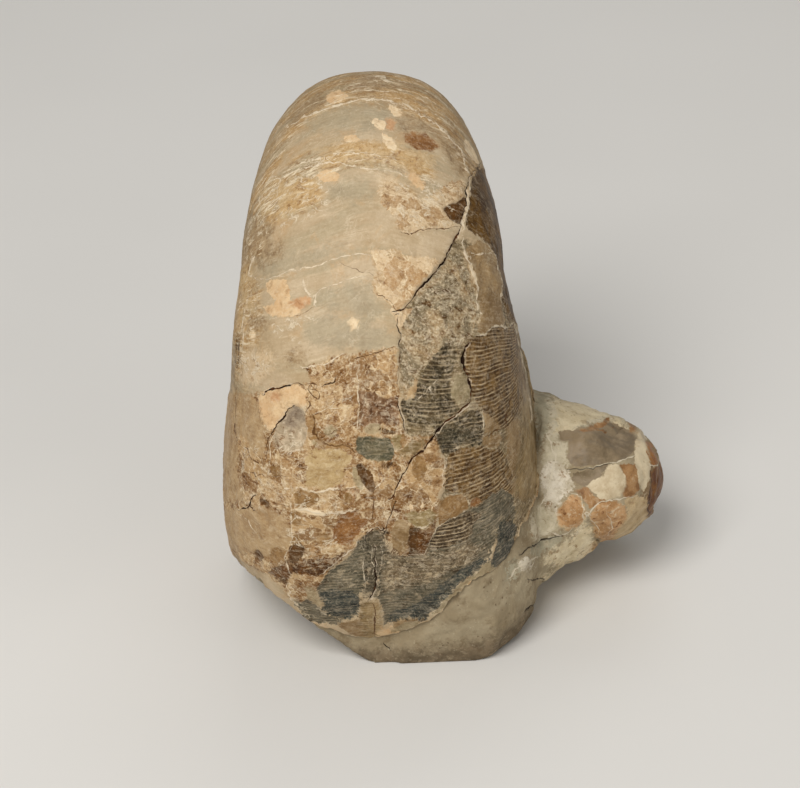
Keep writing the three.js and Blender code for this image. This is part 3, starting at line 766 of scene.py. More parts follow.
shellLines = {
    "crack": dict(
        mainTop=(0.1, 0.2, 480, 164, 470, 176, 467, 187, 465, 208, 461, 226),
        main=(0.3, 0.5, 461, 226, 456, 238, 449, 251, 443, 263, 433, 274, 427, 281, 420, 287, 414, 296,
          409, 303),
        mainTail=(0.14, 0.3, 409, 303, 403, 309, 394, 312),
        middle=(0.12, 0.2, 397, 319, 397, 325, 400, 330, 401, 338, 400, 346),
        right=(0.26, 0.35, 471, 343, 467, 350, 466, 360, 469, 372, 473, 386, 474, 398),
        diagonal=(0.24, 0.35, 475, 398, 472, 402, 465, 408, 458, 415, 452, 420, 446, 423, 441, 430,
          437, 437, 430, 444, 424, 450, 417, 455, 412, 458, 409, 466, 402, 480, 396, 491, 395, 495,
          390, 499),
        diagonalFoot=(0.12, 0.25, 396, 502, 393, 511, 388, 520, 386, 529),
        middleLow=(0.1, 0.2, 398, 399, 400, 410, 403, 418, 404, 431),
        siphuncle=(0.18, 0.35, 375, 549, 376, 563, 376, 573, 375, 585, 372, 596, 368, 601),
        knobTop=(0.1, 0.15, 366, 545, 367, 535, 370, 530, 377, 528, 384, 531, 385, 540),
        left=(0.24, 0.3, 264, 394, 268, 391, 275, 389, 283, 387, 290, 384),
        leftEnd=(0.15, 0.25, 324, 386, 328, 385, 332, 382, 336, 377),
        creviceOne=(0.16, 0.25, 241, 509, 248, 506, 251, 499, 255, 495),
        creviceTwo=(0.16, 0.2, 249, 505, 254, 510),
        # painted shadow: the dark line that the flake scar's step casts
        scarStep=(0.14, 0.3, 272, 433, 276, 428, 280, 422, 285, 415, 289, 408, 294, 405),
    ),
    "seam": dict(
        middleHair=(0.1, 0.15, 400, 346, 400, 360, 398, 376, 397, 390),
        leftStart=(0.14, 0.2, 258, 394, 264, 394),
        leftMiddle=(0.12, 0.2, 290, 384, 297, 383, 303, 385, 310, 384, 315, 383, 320, 387, 326, 385),
        leftTip=(0.1, 0.1, 336, 377, 342, 371),
        knotUpper=(0.12, 0.1, 308, 389, 314, 389, 319, 392, 321, 397, 317, 398, 311, 394, 308, 390),
        knobRight=(0.1, 0.05, 386, 536, 390, 544, 396, 549, 402, 553),
        knotTail=(0.16, 0.15, 308, 400, 309, 407, 305, 414),
        knotTailTwo=(0.12, 0.1, 308, 400, 312, 408),
        # painted shade: the brown curl under a lifted flake
        curl=(0.44, 0.3, 312, 415, 315, 423, 313, 432, 318, 439, 326, 444),
        curlTail=(0.2, 0.1, 326, 444, 338, 446, 346, 446, 356, 452),
        curlAbove=(0.14, 0.05, 318, 430, 328, 434, 340, 430),
        thin=(0.14, 0.1, 353, 360, 358, 357, 370, 354, 382, 351, 394, 346),
        level=(0.14, 0.2, 400, 232, 408, 234, 420, 230, 440, 229, 458, 227),
        crustFoot=(0.14, 0.1, 372, 290, 382, 296, 390, 301, 396, 309),
        flank=(0.2, 0.2, 517, 387, 512, 404, 509, 417, 508, 424),
        # painted shade: a dark line of shade below the lens
        lensFoot=(0.24, 0.1, 489, 436, 495, 433, 502, 429),
        scarLeft=(0.24, 0.2, 272, 433, 268, 438, 266, 448, 266, 458),
        belowBlob=(0.1, 0.05, 290, 318, 300, 314, 312, 308),
        smoothFine=(0.08, 0.02, 343, 264, 358, 270, 374, 274),
        footEdge=(0.16, 0.1, 384, 545, 392, 553, 400, 557, 427, 557),
        siphuncleFoot=(0.2, 0.2, 374, 604, 376, 616, 375, 626, 376, 641),
        squareBase=(0.12, 0.05, 273, 476, 282, 475, 290, 477),
        stainTail=(0.12, 0.05, 273, 501, 283, 505, 289, 506),
        curls=(0.12, 0.05, 251, 472, 256, 476, 262, 474, 265, 478),
        leftHem=(0.16, 0.05, 236, 388, 237, 408, 235, 430, 238, 446),
        redTwo=(0.16, 0.05, 246, 447, 252, 458, 262, 466),
        heartLine=(0.12, 0.05, 374, 490, 373, 505, 371, 520),
    ),
    "vein": dict(
        crown=(0.35, 0, 286, 129, 305, 117, 323, 111, 340, 105, 361, 99, 380, 100, 397, 103, 419, 113,
          434, 123, 447, 134, 463, 156, 469, 177),
        cap=(0.4, 0, 372, 76, 384, 78, 391, 84),
        crownLow=(0.22, 0, 302, 161, 318, 158, 334, 154, 352, 152, 372, 155, 396, 160),
        secondCrown=(0.22, 0, 266, 184, 282, 177, 290, 173, 306, 169, 322, 165, 340, 163, 356, 167,
          378, 170, 400, 173, 410, 178),
        band=(0.16, 0, 296, 166, 313, 160, 326, 158, 338, 158),
        leftCurve=(0.35, 0, 255, 256, 252, 266, 248, 275),
        leftCurveTwo=(0.2, 0, 240, 272, 250, 276, 257, 280),
        leftUpright=(0.3, 0, 245, 307, 243, 325, 243, 349),
        long=(0.2, 0, 257, 279, 271, 278, 283, 273, 300, 269, 318, 266, 331, 261, 346, 255, 358, 254,
          371, 255),
        faint=(0.16, 0, 319, 291, 329, 287, 341, 283, 351, 279, 358, 276, 372, 278),
        wisp=(0.4, 0, 302, 279, 305, 290, 311, 297, 316, 296, 315, 305),
        lowArc=(0.24, 0, 292, 368, 309, 367, 324, 364, 336, 359, 343, 354),
        besidePlate=(0.36, 0, 463, 238, 466, 250, 470, 262, 475, 276, 479, 286, 478, 300, 482, 314),
        plateTop=(0.2, 0, 466, 250, 474, 254, 484, 253, 492, 255),
        plateEdge=(0.3, 0, 488, 246, 495, 257, 500, 278, 503, 306),
        # painted highlight: the lit lip along the main crack
        crackLitLip=(0.3, 0, 471, 180, 468, 196, 467, 210, 464, 222, 462, 232),
        whiteKnot=(0.6, 0, 461, 222, 464, 230),
        upright=(0.16, 0, 357, 372, 358, 395, 358, 430),
        besideOval=(0.2, 0, 274, 434, 271, 443, 270, 453, 270, 474),
        scratch=(0.12, 0, 418, 402, 428, 391, 438, 380),
        scratchTwo=(0.1, 0, 423, 384, 430, 390, 436, 396),
        level=(0.14, 0, 329, 402, 336, 400, 345, 399, 354, 398),
        levelTwo=(0.12, 0, 312, 414, 330, 408, 350, 408),
        blockEdge=(0.22, 0, 469, 511, 462, 516, 453, 519, 444, 523, 437, 528, 433, 535, 430, 546, 427, 556,
          412, 556, 402, 554),
        wallLeft=(0.1, 0, 371, 546, 373, 558, 374, 572, 372, 582),
        wallRight=(0.1, 0, 381, 546, 383, 558, 380, 570, 377, 578),
        crescent=(0.2, 0, 409, 522, 418, 528, 425, 527, 431, 521),
        middleFold=(0.26, 0, 447, 459, 445, 468, 442, 475, 443, 486),
        lensWall=(0.14, 0, 484, 408, 485, 420, 484, 434),
        # painted highlight: the lit lip along the diagonal crack
        diagonalLitLip=(0.14, 0, 473, 403, 458, 417, 448, 423, 440, 432, 438, 439),
        plateRight=(0.24, 0, 516, 321, 520, 335, 523, 355, 526, 366, 529, 384),
        rightRun=(0.3, 0, 531, 395, 534, 410, 532, 424),
        rightRunTwo=(0.22, 0, 538, 406, 541, 424, 540, 441),
        ridgeOne=(0.36, 0, 286, 489, 302, 488, 318, 492, 329, 489, 343, 488, 358, 486),
        ridgeTwo=(0.36, 0, 292, 509, 307, 509, 319, 513, 340, 512, 356, 509),
        ridgeThree=(0.22, 0, 292, 491, 292, 515, 292, 538, 291, 548),
        forkLeft=(0.3, 0, 288, 551, 286, 557, 280, 563, 277, 568),
        forkRight=(0.14, 0, 287, 563, 290, 571, 292, 578),
        leftLow=(0.12, 0, 239, 513, 249, 520, 252, 528, 257, 534),
        fleck=(0.4, 0, 263, 467, 270, 472),
        lensRight=(0.14, 0, 374, 488, 380, 483, 384, 478),
        umberEdge=(0.3, 0, 476, 336, 484, 335, 490, 331, 499, 326, 505, 326, 509, 328, 512, 325, 516, 321),
        footLeftEdge=(0.22, 0, 362, 536, 352, 548, 340, 558, 330, 568, 322, 574),
        footColumn=(0.14, 0, 362, 545, 364, 560, 363, 575, 365, 588),
        footStrip=(0.26, 0, 287, 584, 291, 594, 296, 604, 304, 612),
    ),
}


def bend(x, power):
    # a power that keeps the sign
    return np.sign(x) * np.abs(x) ** power


def shellGrid():
    # each vertex of a globe is one place on the coil: its row is the section angle, its column the turn
    columns, rows = coil["columns"], coil["rows"]
    bm = bmesh.new()
    bmesh.ops.create_uvsphere(bm, u_segments=columns, v_segments=rows, radius=1)
    globe = np.array([v.co for v in bm.verts])
    row = np.rint(np.arccos(np.clip(globe[:, 2], -1, 1)) / math.pi * rows)
    column = np.rint(np.arctan2(globe[:, 1], globe[:, 0]) / (2 * math.pi) * columns) % columns
    pole = (row == 0) | (row == rows)

    share = np.clip(1 - 2 * (row - 1) / (rows - 2), -1, 1)
    near, wide = coil["frontSection"], coil["umbilicusAngle"]
    inner = np.minimum(np.abs(share), coil["frontRows"]) / coil["frontRows"]
    outer = np.maximum(np.abs(share) - coil["frontRows"], 0) / (1 - coil["frontRows"])
    even = np.sign(share) * (near * inner + (wide - near) * outer)
    sine, cosine = np.sin(np.radians(even)), np.cos(np.radians(even))
    bent = 1.25  # makes the rows even along a squarish section
    section = np.degrees(np.arctan2(bend(sine, bent), bend(cosine, bent)))
    section = np.where(np.abs(share) > 0.999, np.sign(share) * wide, section)

    edge = np.array(coil["brokenEdge"], float)
    end = np.interp(section, edge[:, 0], edge[:, 1])
    slow = np.array([noise.noise(Vector((s / 3.1, 4.2, 0))) for s in section])
    quick = np.array([noise.noise(Vector((s, 1.2, 0))) for s in section])
    end = end + 0.9 * (slow + 0.5 * quick)
    back = (columns - column) / (columns - 1)
    near, far = coil["frontColumns"], coil["frontTurns"]
    turn = end + np.where(back < near, back / near * far, far + (back - near) / (1 - near) * (360 - far))
    turn = np.where(column == 0, end, turn)

    points = wrap(turn, section)
    centre = np.array(coil["centre"])
    points[pole] = np.sign(globe[pole, 2])[:, None] * np.array([coil["umbilicusFloor"], 0, 0]) + centre
    outward, reach = np.array(coil["breakFace"][0]), coil["breakFace"][1]
    outward = outward / np.linalg.norm(outward)
    beyond = np.maximum((points - centre) @ outward - reach, 0)
    points -= beyond[:, None] * outward
    for v, p in zip(bm.verts, points.tolist()):
        v.co = Vector(p) * mm
    return bm, turn, even, beyond > 0


def wrap(turn, section):
    # the point of the coil's skin at a turn and a section angle
    angle = np.radians(turn)
    radius = coil["venterRadius"] * np.exp(-coil["radiusGrowth"] * angle)
    halfHeight = coil["sectionHeight"] * radius
    narrowing = np.radians(np.maximum(turn, coil["widestTurn"]))
    halfWidth = coil["halfWidth"] * np.exp(-coil["widthGrowth"] * narrowing)
    thin, thick, start, stop = coil["squareness"]
    power = 2 / (thin + (thick - thin) * smoothStep(-turn, -start, -stop))
    sine, cosine = np.sin(np.radians(section)), np.cos(np.radians(section))
    outwards = radius - halfHeight + halfHeight * bend(cosine, power)
    across = halfWidth * bend(sine, power)
    around = np.radians(turn + coil["tilt"])
    spots = np.stack([across, -outwards * np.cos(around), outwards * np.sin(around)], 1)
    return spots + np.array(coil["centre"])


def meshFrom(bm, name):
    mesh = bpy.data.meshes.new(name)
    bm.to_mesh(mesh)
    bm.free()
    mesh.shade_smooth()
    return mesh


def pointsOf(mesh):
    flat = np.zeros(len(mesh.vertices) * 3)
    mesh.vertices.foreach_get("co", flat)
    normals = np.zeros(len(mesh.vertices) * 3)
    mesh.vertex_normals.foreach_get("vector", normals)
    return flat.reshape(-1, 3) / mm, normals.reshape(-1, 3)


def movePoints(mesh, points):
    low, high = (np.array(corner) / mm for corner in (cadBox[0], cadBox[1]))
    points = np.clip(points, low, high)
    mesh.vertices.foreach_set("co", (points * mm).ravel())
    mesh.update()


# How marks are laid on a surface. Hidden lines are those that noise places where the camera doesn't see.
marks = {
    "uneven": 1.6,  # view points by which noise shifts what is drawn
    "farthest": 2,  # millimetres that a field tells apart
    "hiddenGap": 17,  # millimetres, like all that follow
    "hiddenLength": 11,
    "hiddenHalf": 0.15,
    "hiddenDepth": 0.25,
}


def markFields(mesh, points, normals, patches, lines):
    # adds a field for every family of patches and lines, and returns them
    farthest, gap = marks["farthest"], marks["hiddenGap"]
    spots, facing = seenFromEye(points, normals)
    seen = facing > -0.32  # a little past the horizon, where the two sides blend
    for size, seed, share in ((2.2, 11, 1.0), (0.8, 13, 0.9)):
        drift = np.stack([ripple(points, size, seed), ripple(points, size, seed + 1)], 1)
        spots = spots + marks["uneven"] * share * drift
    fields = {}
    for number, (name, look) in enumerate(patches.items()):
        front = patchField(spots, seen, look["outlines"])
        seed = 20 + (number if look["seed"] is None else look["seed"])
        back = (ripple(points, look["waves"], seed) - look["least"]) * look["waves"] * 0.45
        fields[name] = np.clip(blendFields(back, front, facing), -farthest, farthest)
        addField(mesh, name, fields[name])
    for number, (name, paths) in enumerate(lines.items()):
        side, near, half, depth = lineField(spots, seen, paths)
        winding = ripple(points, gap, 60 + number, 2) * gap * 0.5
        shown = smoothStep(ripple(points, marks["hiddenLength"], 70 + number, 2), 0.15, 0.4)
        hidden = facing < -0.02
        side, near = np.where(hidden, winding, side), np.where(hidden, np.abs(winding), near)
        half = np.where(hidden, marks["hiddenHalf"] * shown - 0.05, half)
        depth = np.where(hidden, marks["hiddenDepth"] * shown, depth)
        for part, values in (("Side", side), ("Near", near), ("Half", half)):
            addField(mesh, name + part, np.clip(values, -farthest, farthest))
        fields[name] = (near, half, depth)
    return fields


def sunkBy(patches, fields):
    # how deep the patches lie below the skin, each with a steep border
    return sum(look["sunk"] * smoothStep(fields[name], -0.12, 0.18) for name, look in patches.items())


def nudgeSides(points):
    # draws the coil's sides in or out a little, row by row of the picture
    spots, _ = seenFromEye(points, points)
    rows, leftward, rightward = np.array(coil["sideNudges"], float).T
    across = (points - np.array(coil["centre"])) @ np.array(right)
    leftOut, rightOut = (np.interp(spots[:, 1], rows, side) for side in (leftward, rightward))
    amount = np.where(across < 0, -leftOut, rightOut)
    return points + (amount * smoothStep(np.abs(across), 5, 15))[:, None] * np.array(right)


# The shell's relief in millimetres; waves are pairs of a height and a length.
relief = {
    "waves": ((0.1, 9), (0.03, 2.2)),
    "creases": 0.12,
    "rubble": 0.12,
    "veins": 0.06,
    "breakFace": 0.25,
}


def makeShell():
    bm, turn, even, cut = shellGrid()
    mesh = meshFrom(bm, "ammoniteShell")
    points, _ = pointsOf(mesh)
    movePoints(mesh, nudgeSides(points))
    points, normals = pointsOf(mesh)
    fields = markFields(mesh, points, normals, shellPatches, shellLines)
    angle = np.radians(turn)
    growth = coil["venterRadius"] / coil["radiusGrowth"] * (1 - np.exp(-coil["radiusGrowth"] * angle))
    addField(mesh, "growth", growth)
    addField(mesh, "aside", even * coil["asidePerDegree"])

    waves = enumerate(relief["waves"], 1)
    shift = sum(height * ripple(points, size, seed) for seed, (height, size) in waves)
    crease = np.abs(ripple(points, 7, 5))
    shift -= relief["creases"] * (1 - smoothStep(crease, 0.0, 0.08))
    shift -= sunkBy(shellPatches, fields)
    rubble = np.max([smoothStep(fields[name], -0.1, 0.3) for name in ("sand", "crust", "frost")], 0)
    shift += relief["rubble"] * rubble * ripple(points, 1.5, 3)
    for name in ("crack", "seam"):
        near, half, depth = fields[name]
        shift -= depth * (1 - smoothStep(near, half * 0.4, half + 0.16))
    near, half, depth = fields["vein"]
    shift += relief["veins"] * (1 - smoothStep(near, half * 0.6, half + 0.25))
    shift = np.where(cut, relief["breakFace"] * ripple(points, 2.5, 4), shift)
    settled = smoothStep(points[:, 2], 0.0, 3.0)  # no relief where the part stands
    movePoints(mesh, points + (shift * settled)[:, None] * normals)
    mesh.set_sharp_from_angle(angle=math.radians(60))
    return mesh


def shellFinish():
    paint = Paint("fossil shell")
    growth, aside = paint.field("growth"), paint.field("aside")
    # the growth lines sag on both sides of the keel
    off = abs(aside)
    sag = off.step(0.0, 13.0, 0.0, 2.0) + off.step(10.0, 24.0, 0.0, 1.4) + off.step(20, 38, 0, 2.6)
    line = growth + sag + (paint.cloud(9, 3) - 0.5) * 1.6
    flow = paint.vector(line, aside * 0.65)
    bands = paint.cloud(3.2, 4, 0.6, 0.3, paint.vector(line, aside * 0.16))
    clouds = paint.cloud(7, 4, 0.6, 0.6)
    fibres = paint.cloud(0.6, 5, 0.66, 0.3, paint.vector(line, aside * 0.15))
    strands = paint.cloud(1.4, 6, 0.66, 0.35, paint.vector(line, aside * 0.14))
    colour = paint.mix((178, 155, 121), (194, 173, 142), clouds.step(0.35, 0.65))
    colour = paint.mix(colour, (168, 153, 123), bands.step(0.5, 0.64) * 0.6)
    colour = paint.mix(colour, (188, 152, 108), paint.cloud(4.6, 6, 0.68, 0.9).step(0.52, 0.66) * 0.5)

    # towards the crown and round the flanks the shell is browner: partly its own tone, partly painted shade
    # where the whorl turns away from the lamps
    crown, flank = line.step(21, 40) * 0.9, abs(aside).step(16, 28) * 0.8
    brownAndEdgeShade = paint.mix((120, 96, 60), (154, 133, 99), bands.step(0.44, 0.56))
    brownAndEdgeShade = paint.mix(brownAndEdgeShade, (170, 138, 94), strands.step(0.52, 0.6) * 0.7)
    colour = paint.mix(colour, brownAndEdgeShade, crown.top(flank))

    # streaks along the growth lines: brown hollows and short cream flecks
    streaky = (paint.field("streak") + (paint.cloud(3.0, 5, 0.7) - 0.5) * 3.5).step(-0.4, 0.7)
    streaky = streaky.top(crown * 0.8)
    calm = paint.cloud(2.6, 4).step(0.42, 0.6, 0.1, 0.3)
    colour = paint.mix(colour, (184, 148, 98), streaky * bands.step(0.56, 0.44) * 0.9)
    colour = paint.mix(colour, (150, 116, 74), strands.step(0.47, 0.38) * (streaky * 0.7).top(calm * 0.5))
    colour = paint.mix(colour, (140, 104, 64), fibres.step(0.46, 0.36) * (streaky * 0.6).top(calm * 0.4))
    colour = paint.mix(colour, (222, 202, 168), strands.step(0.57, 0.65) * (streaky * 0.7).top(calm))
    colour = paint.mix(colour, (224, 204, 172), fibres.step(0.56, 0.65) * (streaky * 0.6).top(calm))

    rough = paint.cloud(3.0, 3).step(0.3, 0.7, 0.42, 0.54) + streaky * 0.12
    grain, lirae = streaky * 0.02 + 0.006, clouds.step(0.3, 0.7, 0.02, 0.1)
    colour, rough, grain, lirae = layered(paint, colour, rough, grain, lirae, shellPatches, flow)

    # hairlines along the growth lines of the upper shell, brown and white
    for shade, size, shift, strength in (((142, 106, 66), 1.3, 7.0, 0.6), ((230, 213, 182), 1.7, 0.0, 0.85)):
        run = paint.cloud(size, 4, 0.6, 0.25, paint.vector(line + shift, aside * 0.1))
        run = abs(run - 0.5).step(0.008, 0.024, 1.0, 0.0) * paint.cloud(2.2, 4).step(0.44, 0.56)
        colour = paint.mix(colour, shade, run * (streaky * strength).top(calm * 0.5))

    # fine curling lines of white calcite
    web = (paint.field("web") + 0.2).step(0, 0.8)
    patchy = paint.cloud(1.9, 4).step(0.44, 0.56)
    wisps = paint.wisps(1.9, 0.036, flow) * patchy * (web * 0.85).top((grain * 14).low(0.45)).top(calm)
    colour = paint.mix(colour, (228, 212, 184), wisps * 0.85)

    crumbs = paint.cloud(0.55, 5, 0.72, 0.2, paint.vector(line, aside * 0.6))
    dust = paint.cloud(0.32, 3, 0.7)
    dusty = grain * 18
    colour = paint.darken(colour, (156, 124, 88), crumbs.step(0.46, 0.36) * (dusty * 0.6).low(0.55))
    colour = paint.mix(colour, (226, 206, 172), crumbs.step(0.54, 0.63) * (dusty * 0.6).low(0.6))
    colour = paint.darken(colour, (176, 150, 120), dust.step(0.48, 0.34) * (dusty * 0.5 + 0.06).low(0.6))
    colour = paint.mix(colour, (226, 208, 180), dust.step(0.54, 0.68) * (dusty * 0.5 + 0.08).low(0.6))

    # growth lines: uneven ribs, pale on their crests where the surface is dark, and hairlines across them
    drift = paint.cloud(3.0, 3, 0.5, 0.0, paint.vector(growth, aside * 0.25))
    phase = drift * 8 + (paint.cloud(1.1, 4, 0.6) - 0.5) * 1.5
    rib, fineRib = 2 * math.pi / 0.6, 2 * math.pi / 0.37  # a rib every 0.6 mm, and finer ones between
    wave = (line * rib + phase).sine() * 0.85 + (line * fineRib + phase * 1.4).sine() * 0.2
    uneven = paint.cloud(0.9, 3, 0.6, 0.0, paint.vector(line, aside * 0.06)).step(0.36, 0.58, 0.35, 1.0)
    broken = paint.cloud(1.5, 6, 0.75).step(0.4, 0.56, 0.2, 1.0)
    shown = lirae * broken * uneven
    colour = paint.darken(colour, (132, 106, 78), wave.step(0.1, -0.7) * lirae * broken * 0.6)
    colour = paint.mix(colour, (204, 181, 144), wave.step(0.35, 0.95) * shown * 0.8)
    across = paint.wisps(2.6, 0.02, paint.vector(aside, line * 0.12)) * patchy * lirae
    colour = paint.mix(colour, (200, 178, 142), across * 0.22)

    (vein, _), (seam, _), (crack, paintedLip) = (lineMask(paint, name) for name in ("vein", "seam", "crack"))
    colour = paint.mix(colour, (228, 211, 183), vein * paint.cloud(1.0, 4, 0.7).step(0.38, 0.56, 0.05, 0.85))
    colour = paint.mix(colour, (92, 61, 31), seam * paint.cloud(1.2, 3).step(0.34, 0.5, 0.3, 0.95))
    # painted highlight: a pale lit lip along the lower side of the cracks
    colour = paint.mix(colour, (222, 204, 178), paintedLip * 0.55)
    # the cracks are painted dark: partly the dark matter in them, partly painted shade inside the groove
    crackFillAndShade = paint.mix((38, 22, 12), (92, 56, 30), paint.cloud(1.8, 3).step(0.44, 0.6))
    colour = paint.mix(colour, crackFillAndShade, crack)
    rough = rough + crack * 0.3

    height = grain * (paint.cloud(0.45, 5, 0.7) - 0.5) * 3 + shown * wave * 0.04 + paint.cloud(1.4, 4) * 0.04
    height = height + strands * streaky * 0.06 + (vein + wisps) * 0.03 - crack * 0.2
    return paint.finish(colour, rough, height, {"Specular IOR Level": 0.1})


# The mudstone that fills the broken end and carries the second shell, and its marks.
matrixPatches = {
    "greenish": family(
        {"sunk": 0.1, "tones": ((154, 145, 120), (176, 167, 142)), "cloud": 2.5, "rough": 0.8,
         "grain": 0.06, "ragged": 3.5},
        strip=(536, 392, 549, 396, 553, 414, 550, 436, 541, 452, 537, 430, 534, 408),
        low=(506, 566, 516, 556, 520, 570, 508, 584),
        cleft=(529, 552, 534, 544, 545, 538, 560, 533, 563, 538, 552, 545, 540, 552, 532, 556),
    ),
    "brownish": family(
        {"waves": 8, "least": 0.42, "tones": ((128, 104, 74), (158, 132, 98)), "cloud": 2.2, "rough": 0.75,
         "grain": 0.05, "ragged": 4.0},
        # partly painted shade: the lump's brown right edge, darker where it rounds away
        rim=(640, 440, 664, 440, 664, 500, 640, 520),
    ),
    "rusty": family(
        {"waves": 7, "least": 0.7, "tones": ((182, 144, 98), (208, 171, 124)), "rough": 0.6, "grain": 0.04,
         "worn": 0.6, "ragged": 2.0, "soft": 0.4},
        left=(549, 521, 560, 506, 571, 496, 583, 503, 585, 515, 576, 528, 560, 526),
        right=(590, 512, 606, 504, 626, 508, 626, 530, 608, 544, 594, 534),
        lowRim=(584, 540, 600, 545, 618, 541, 636, 530, 648, 514, 652, 524, 640, 540, 614, 556, 586, 566,
          578, 558),
    ),
    "chalk": family(
        {"sunk": -0.05, "least": 0.45, "tones": ((184, 172, 144), (202, 190, 164)), "cloud": 1.8,
         "rough": 0.75, "grain": 0.05, "worn": 0.5, "ragged": 2.4, "soft": 0.4, "pale": (214, 202, 172)},
        top=(548, 402, 572, 402, 604, 410, 626, 422, 609, 421, 593, 425, 578, 430, 560, 431, 557, 440,
          568, 442, 569, 468, 556, 462, 542, 468, 541, 450, 550, 428),
        beside=(538, 504, 556, 512, 560, 524, 552, 534, 534, 540, 526, 534, 532, 516),
    ),
    # painted light: the downward-facing tongue and low flank of the lump painted paler, as if lit from below
    "wheat": family(
        {"sunk": -0.03, "waves": 8, "least": 0.6, "tones": ((216, 198, 160), (234, 219, 186)),
         "cloud": 1.8, "rough": 0.75, "grain": 0.05, "worn": 0.5, "ragged": 2.4, "soft": 0.5},
        tongue=(583, 516, 592, 530, 592, 548, 580, 560, 556, 564, 540, 562, 556, 546, 572, 536),
        lowFlank=(560, 564, 584, 556, 604, 550, 590, 562, 566, 576, 548, 584, 540, 576),
    ),
    # painted shade: the mudstone's underside painted darker, as if in shadow
    "undersideShade": family(
        {"least": 0.55, "tones": ((96, 82, 62), (122, 105, 82)), "cloud": 3.0, "rough": 0.85,
         "grain": 0.03, "ragged": 3.0, "soft": 1.2, "cover": 0.9},
        underside=(296, 634, 330, 641, 352, 647, 400, 649, 450, 647, 490, 640, 510, 624, 530, 604,
          552, 588, 575, 590, 520, 680, 300, 690),
    ),
    "calcite": family(
        {"sunk": -0.15, "waves": 6, "least": 0.75, "tones": ((188, 175, 150), (222, 211, 190)),
         "rough": 0.45, "grain": 0.04, "worn": 0.6, "ragged": 2.6, "soft": 0.25, "cover": 0.9,
         "pale": (232, 222, 204)},
        underPlate=(541, 468, 552, 460, 566, 464, 573, 482, 576, 488, 564, 498, 556, 512, 546, 506,
          540, 486),
        lowPocket=(518, 560, 526, 556, 532, 562, 529, 569, 521, 570, 516, 566),
    ),
}

matrixLines = {
    "crack": dict(
        slit=(0.16, 0.35, 520, 554, 531, 546, 543, 541, 560, 536),
        crevice=(0.3, 0.3, 524, 610, 528, 606, 532, 604),
        seam=(0.12, 0.12, 527, 580, 535, 579, 543, 577),
        scratch=(0.14, 0.05, 384, 644, 390, 650),
    ),
    "vein": dict(
        calcite=(0.3, 0, 547, 436, 551, 444, 556, 456, 552, 470, 548, 490, 541, 505),
        low=(0.25, 0, 508, 578, 520, 566, 536, 556),
        pale=(0.3, 0, 552, 534, 560, 536, 572, 528),
    ),
}


sidePatches = {
    "lid": family(
        {"least": 0.3, "tones": ((176, 151, 112), (195, 171, 133)), "cloud": 2.4, "rough": 0.6,
         "grain": 0.03, "ragged": 2.6},
        right=(622, 498, 636, 496, 647, 498, 647, 518, 636, 532, 620, 543, 610, 541, 620, 526, 626, 512),
    ),
    "buff": family(
        {"least": 0.45, "tones": ((198, 181, 146), (214, 199, 166)), "cloud": 2.4, "rough": 0.6,
         "grain": 0.03, "ragged": 2.6, "soft": 0.3},
        top=(552, 400, 600, 396, 640, 410, 660, 436, 644, 440, 637, 430, 626, 421, 608, 417, 590, 421,
          576, 430, 556, 434),
        corner=(607, 424, 617, 421, 627, 430, 624, 438, 610, 436),
    ),
    "plate": family(
        {"sunk": 0.15, "least": 0.35, "tones": ((113, 97, 74), (138, 120, 94)), "cloud": 4.5,
         "rough": 0.46, "grain": 0.004, "worn": 0.05, "ragged": 0.6},
        grey=(569, 434, 580, 430, 593, 426, 609, 422, 624, 429, 633, 433, 636, 441, 633, 452, 625, 460,
          609, 465, 593, 465, 574, 467, 569, 458),
        wing=(557, 432, 569, 431, 570, 440, 560, 440),
    ),
    "ash": family(
        {"sunk": 0.1, "waves": 6, "least": 0.45, "tones": ((116, 101, 77), (132, 115, 90)), "cloud": 2.4,
         "worn": 0.15},
        low=(574, 473, 593, 467, 611, 466, 603, 474, 594, 481, 587, 487, 578, 483, 573, 479),
    ),
    "orange": family(
        {"waves": 6, "least": 0.25, "tones": ((163, 122, 78), (194, 153, 108)), "grain": 0.04, "worn": 0.7,
         "soft": 0.2},
        left=(564, 502, 572, 495, 580, 499, 583, 511, 581, 522, 574, 527, 559, 524, 556, 514),
        right=(600, 502, 612, 500, 624, 506, 624, 517, 618, 526, 612, 539, 603, 545, 599, 536, 596, 522,
          590, 514),
    ),
    "ivory": family(
        {"sunk": -0.05, "waves": 5, "least": 0.4, "tones": ((188, 169, 137), (205, 189, 158)),
         "cloud": 2.4, "worn": 0.15, "ragged": 0.7},
        oval=(587, 487, 594, 480, 603, 476, 608, 468, 616, 465, 624, 473, 625, 483, 622, 492, 612, 499,
          600, 499, 593, 493),
        band=(637, 432, 644, 433, 647, 452, 650, 465, 649, 478, 643, 493, 639, 487, 634, 471, 633, 458,
          636, 443),
    ),
    "redbrown": family(
        {"sunk": 0.05, "waves": 5, "least": 0.35, "tones": ((128, 90, 52), (158, 120, 78)), "cloud": 2.4,
         "rough": 0.45, "ragged": 0.8},
        topEdge=(577, 432, 593, 425, 605, 420, 611, 419, 609, 423, 596, 428, 580, 434),
        frameRight=(619, 465, 633, 465, 636, 473, 638, 490, 631, 496, 621, 499, 624, 487, 625, 479),
        frameLow=(574, 489, 586, 487, 593, 495, 600, 499, 612, 500, 594, 505, 589, 508, 584, 502),
        topRight=(626, 423, 634, 427, 636, 434, 629, 432),
    ),
    "honey": family(
        {"waves": 4, "tones": ((134, 80, 8), (158, 100, 20)), "rough": 0.4, "worn": 0.1},
        blob=(644, 442, 650, 443, 655, 453, 658, 461, 653, 467, 649, 465, 647, 452),
    ),
    # partly painted shade: the second shell's dark brown rim, darker where it curves away on the right
    "brownRimShade": family(
        {"tones": ((88, 44, 2), (126, 80, 18)), "cloud": 2.4, "rough": 0.42, "worn": 0.1},
        rim=(650, 471, 658, 465, 662, 455, 666, 460, 666, 474, 662, 492, 654, 510, 646, 518, 647, 499,
          651, 484),
    ),
}

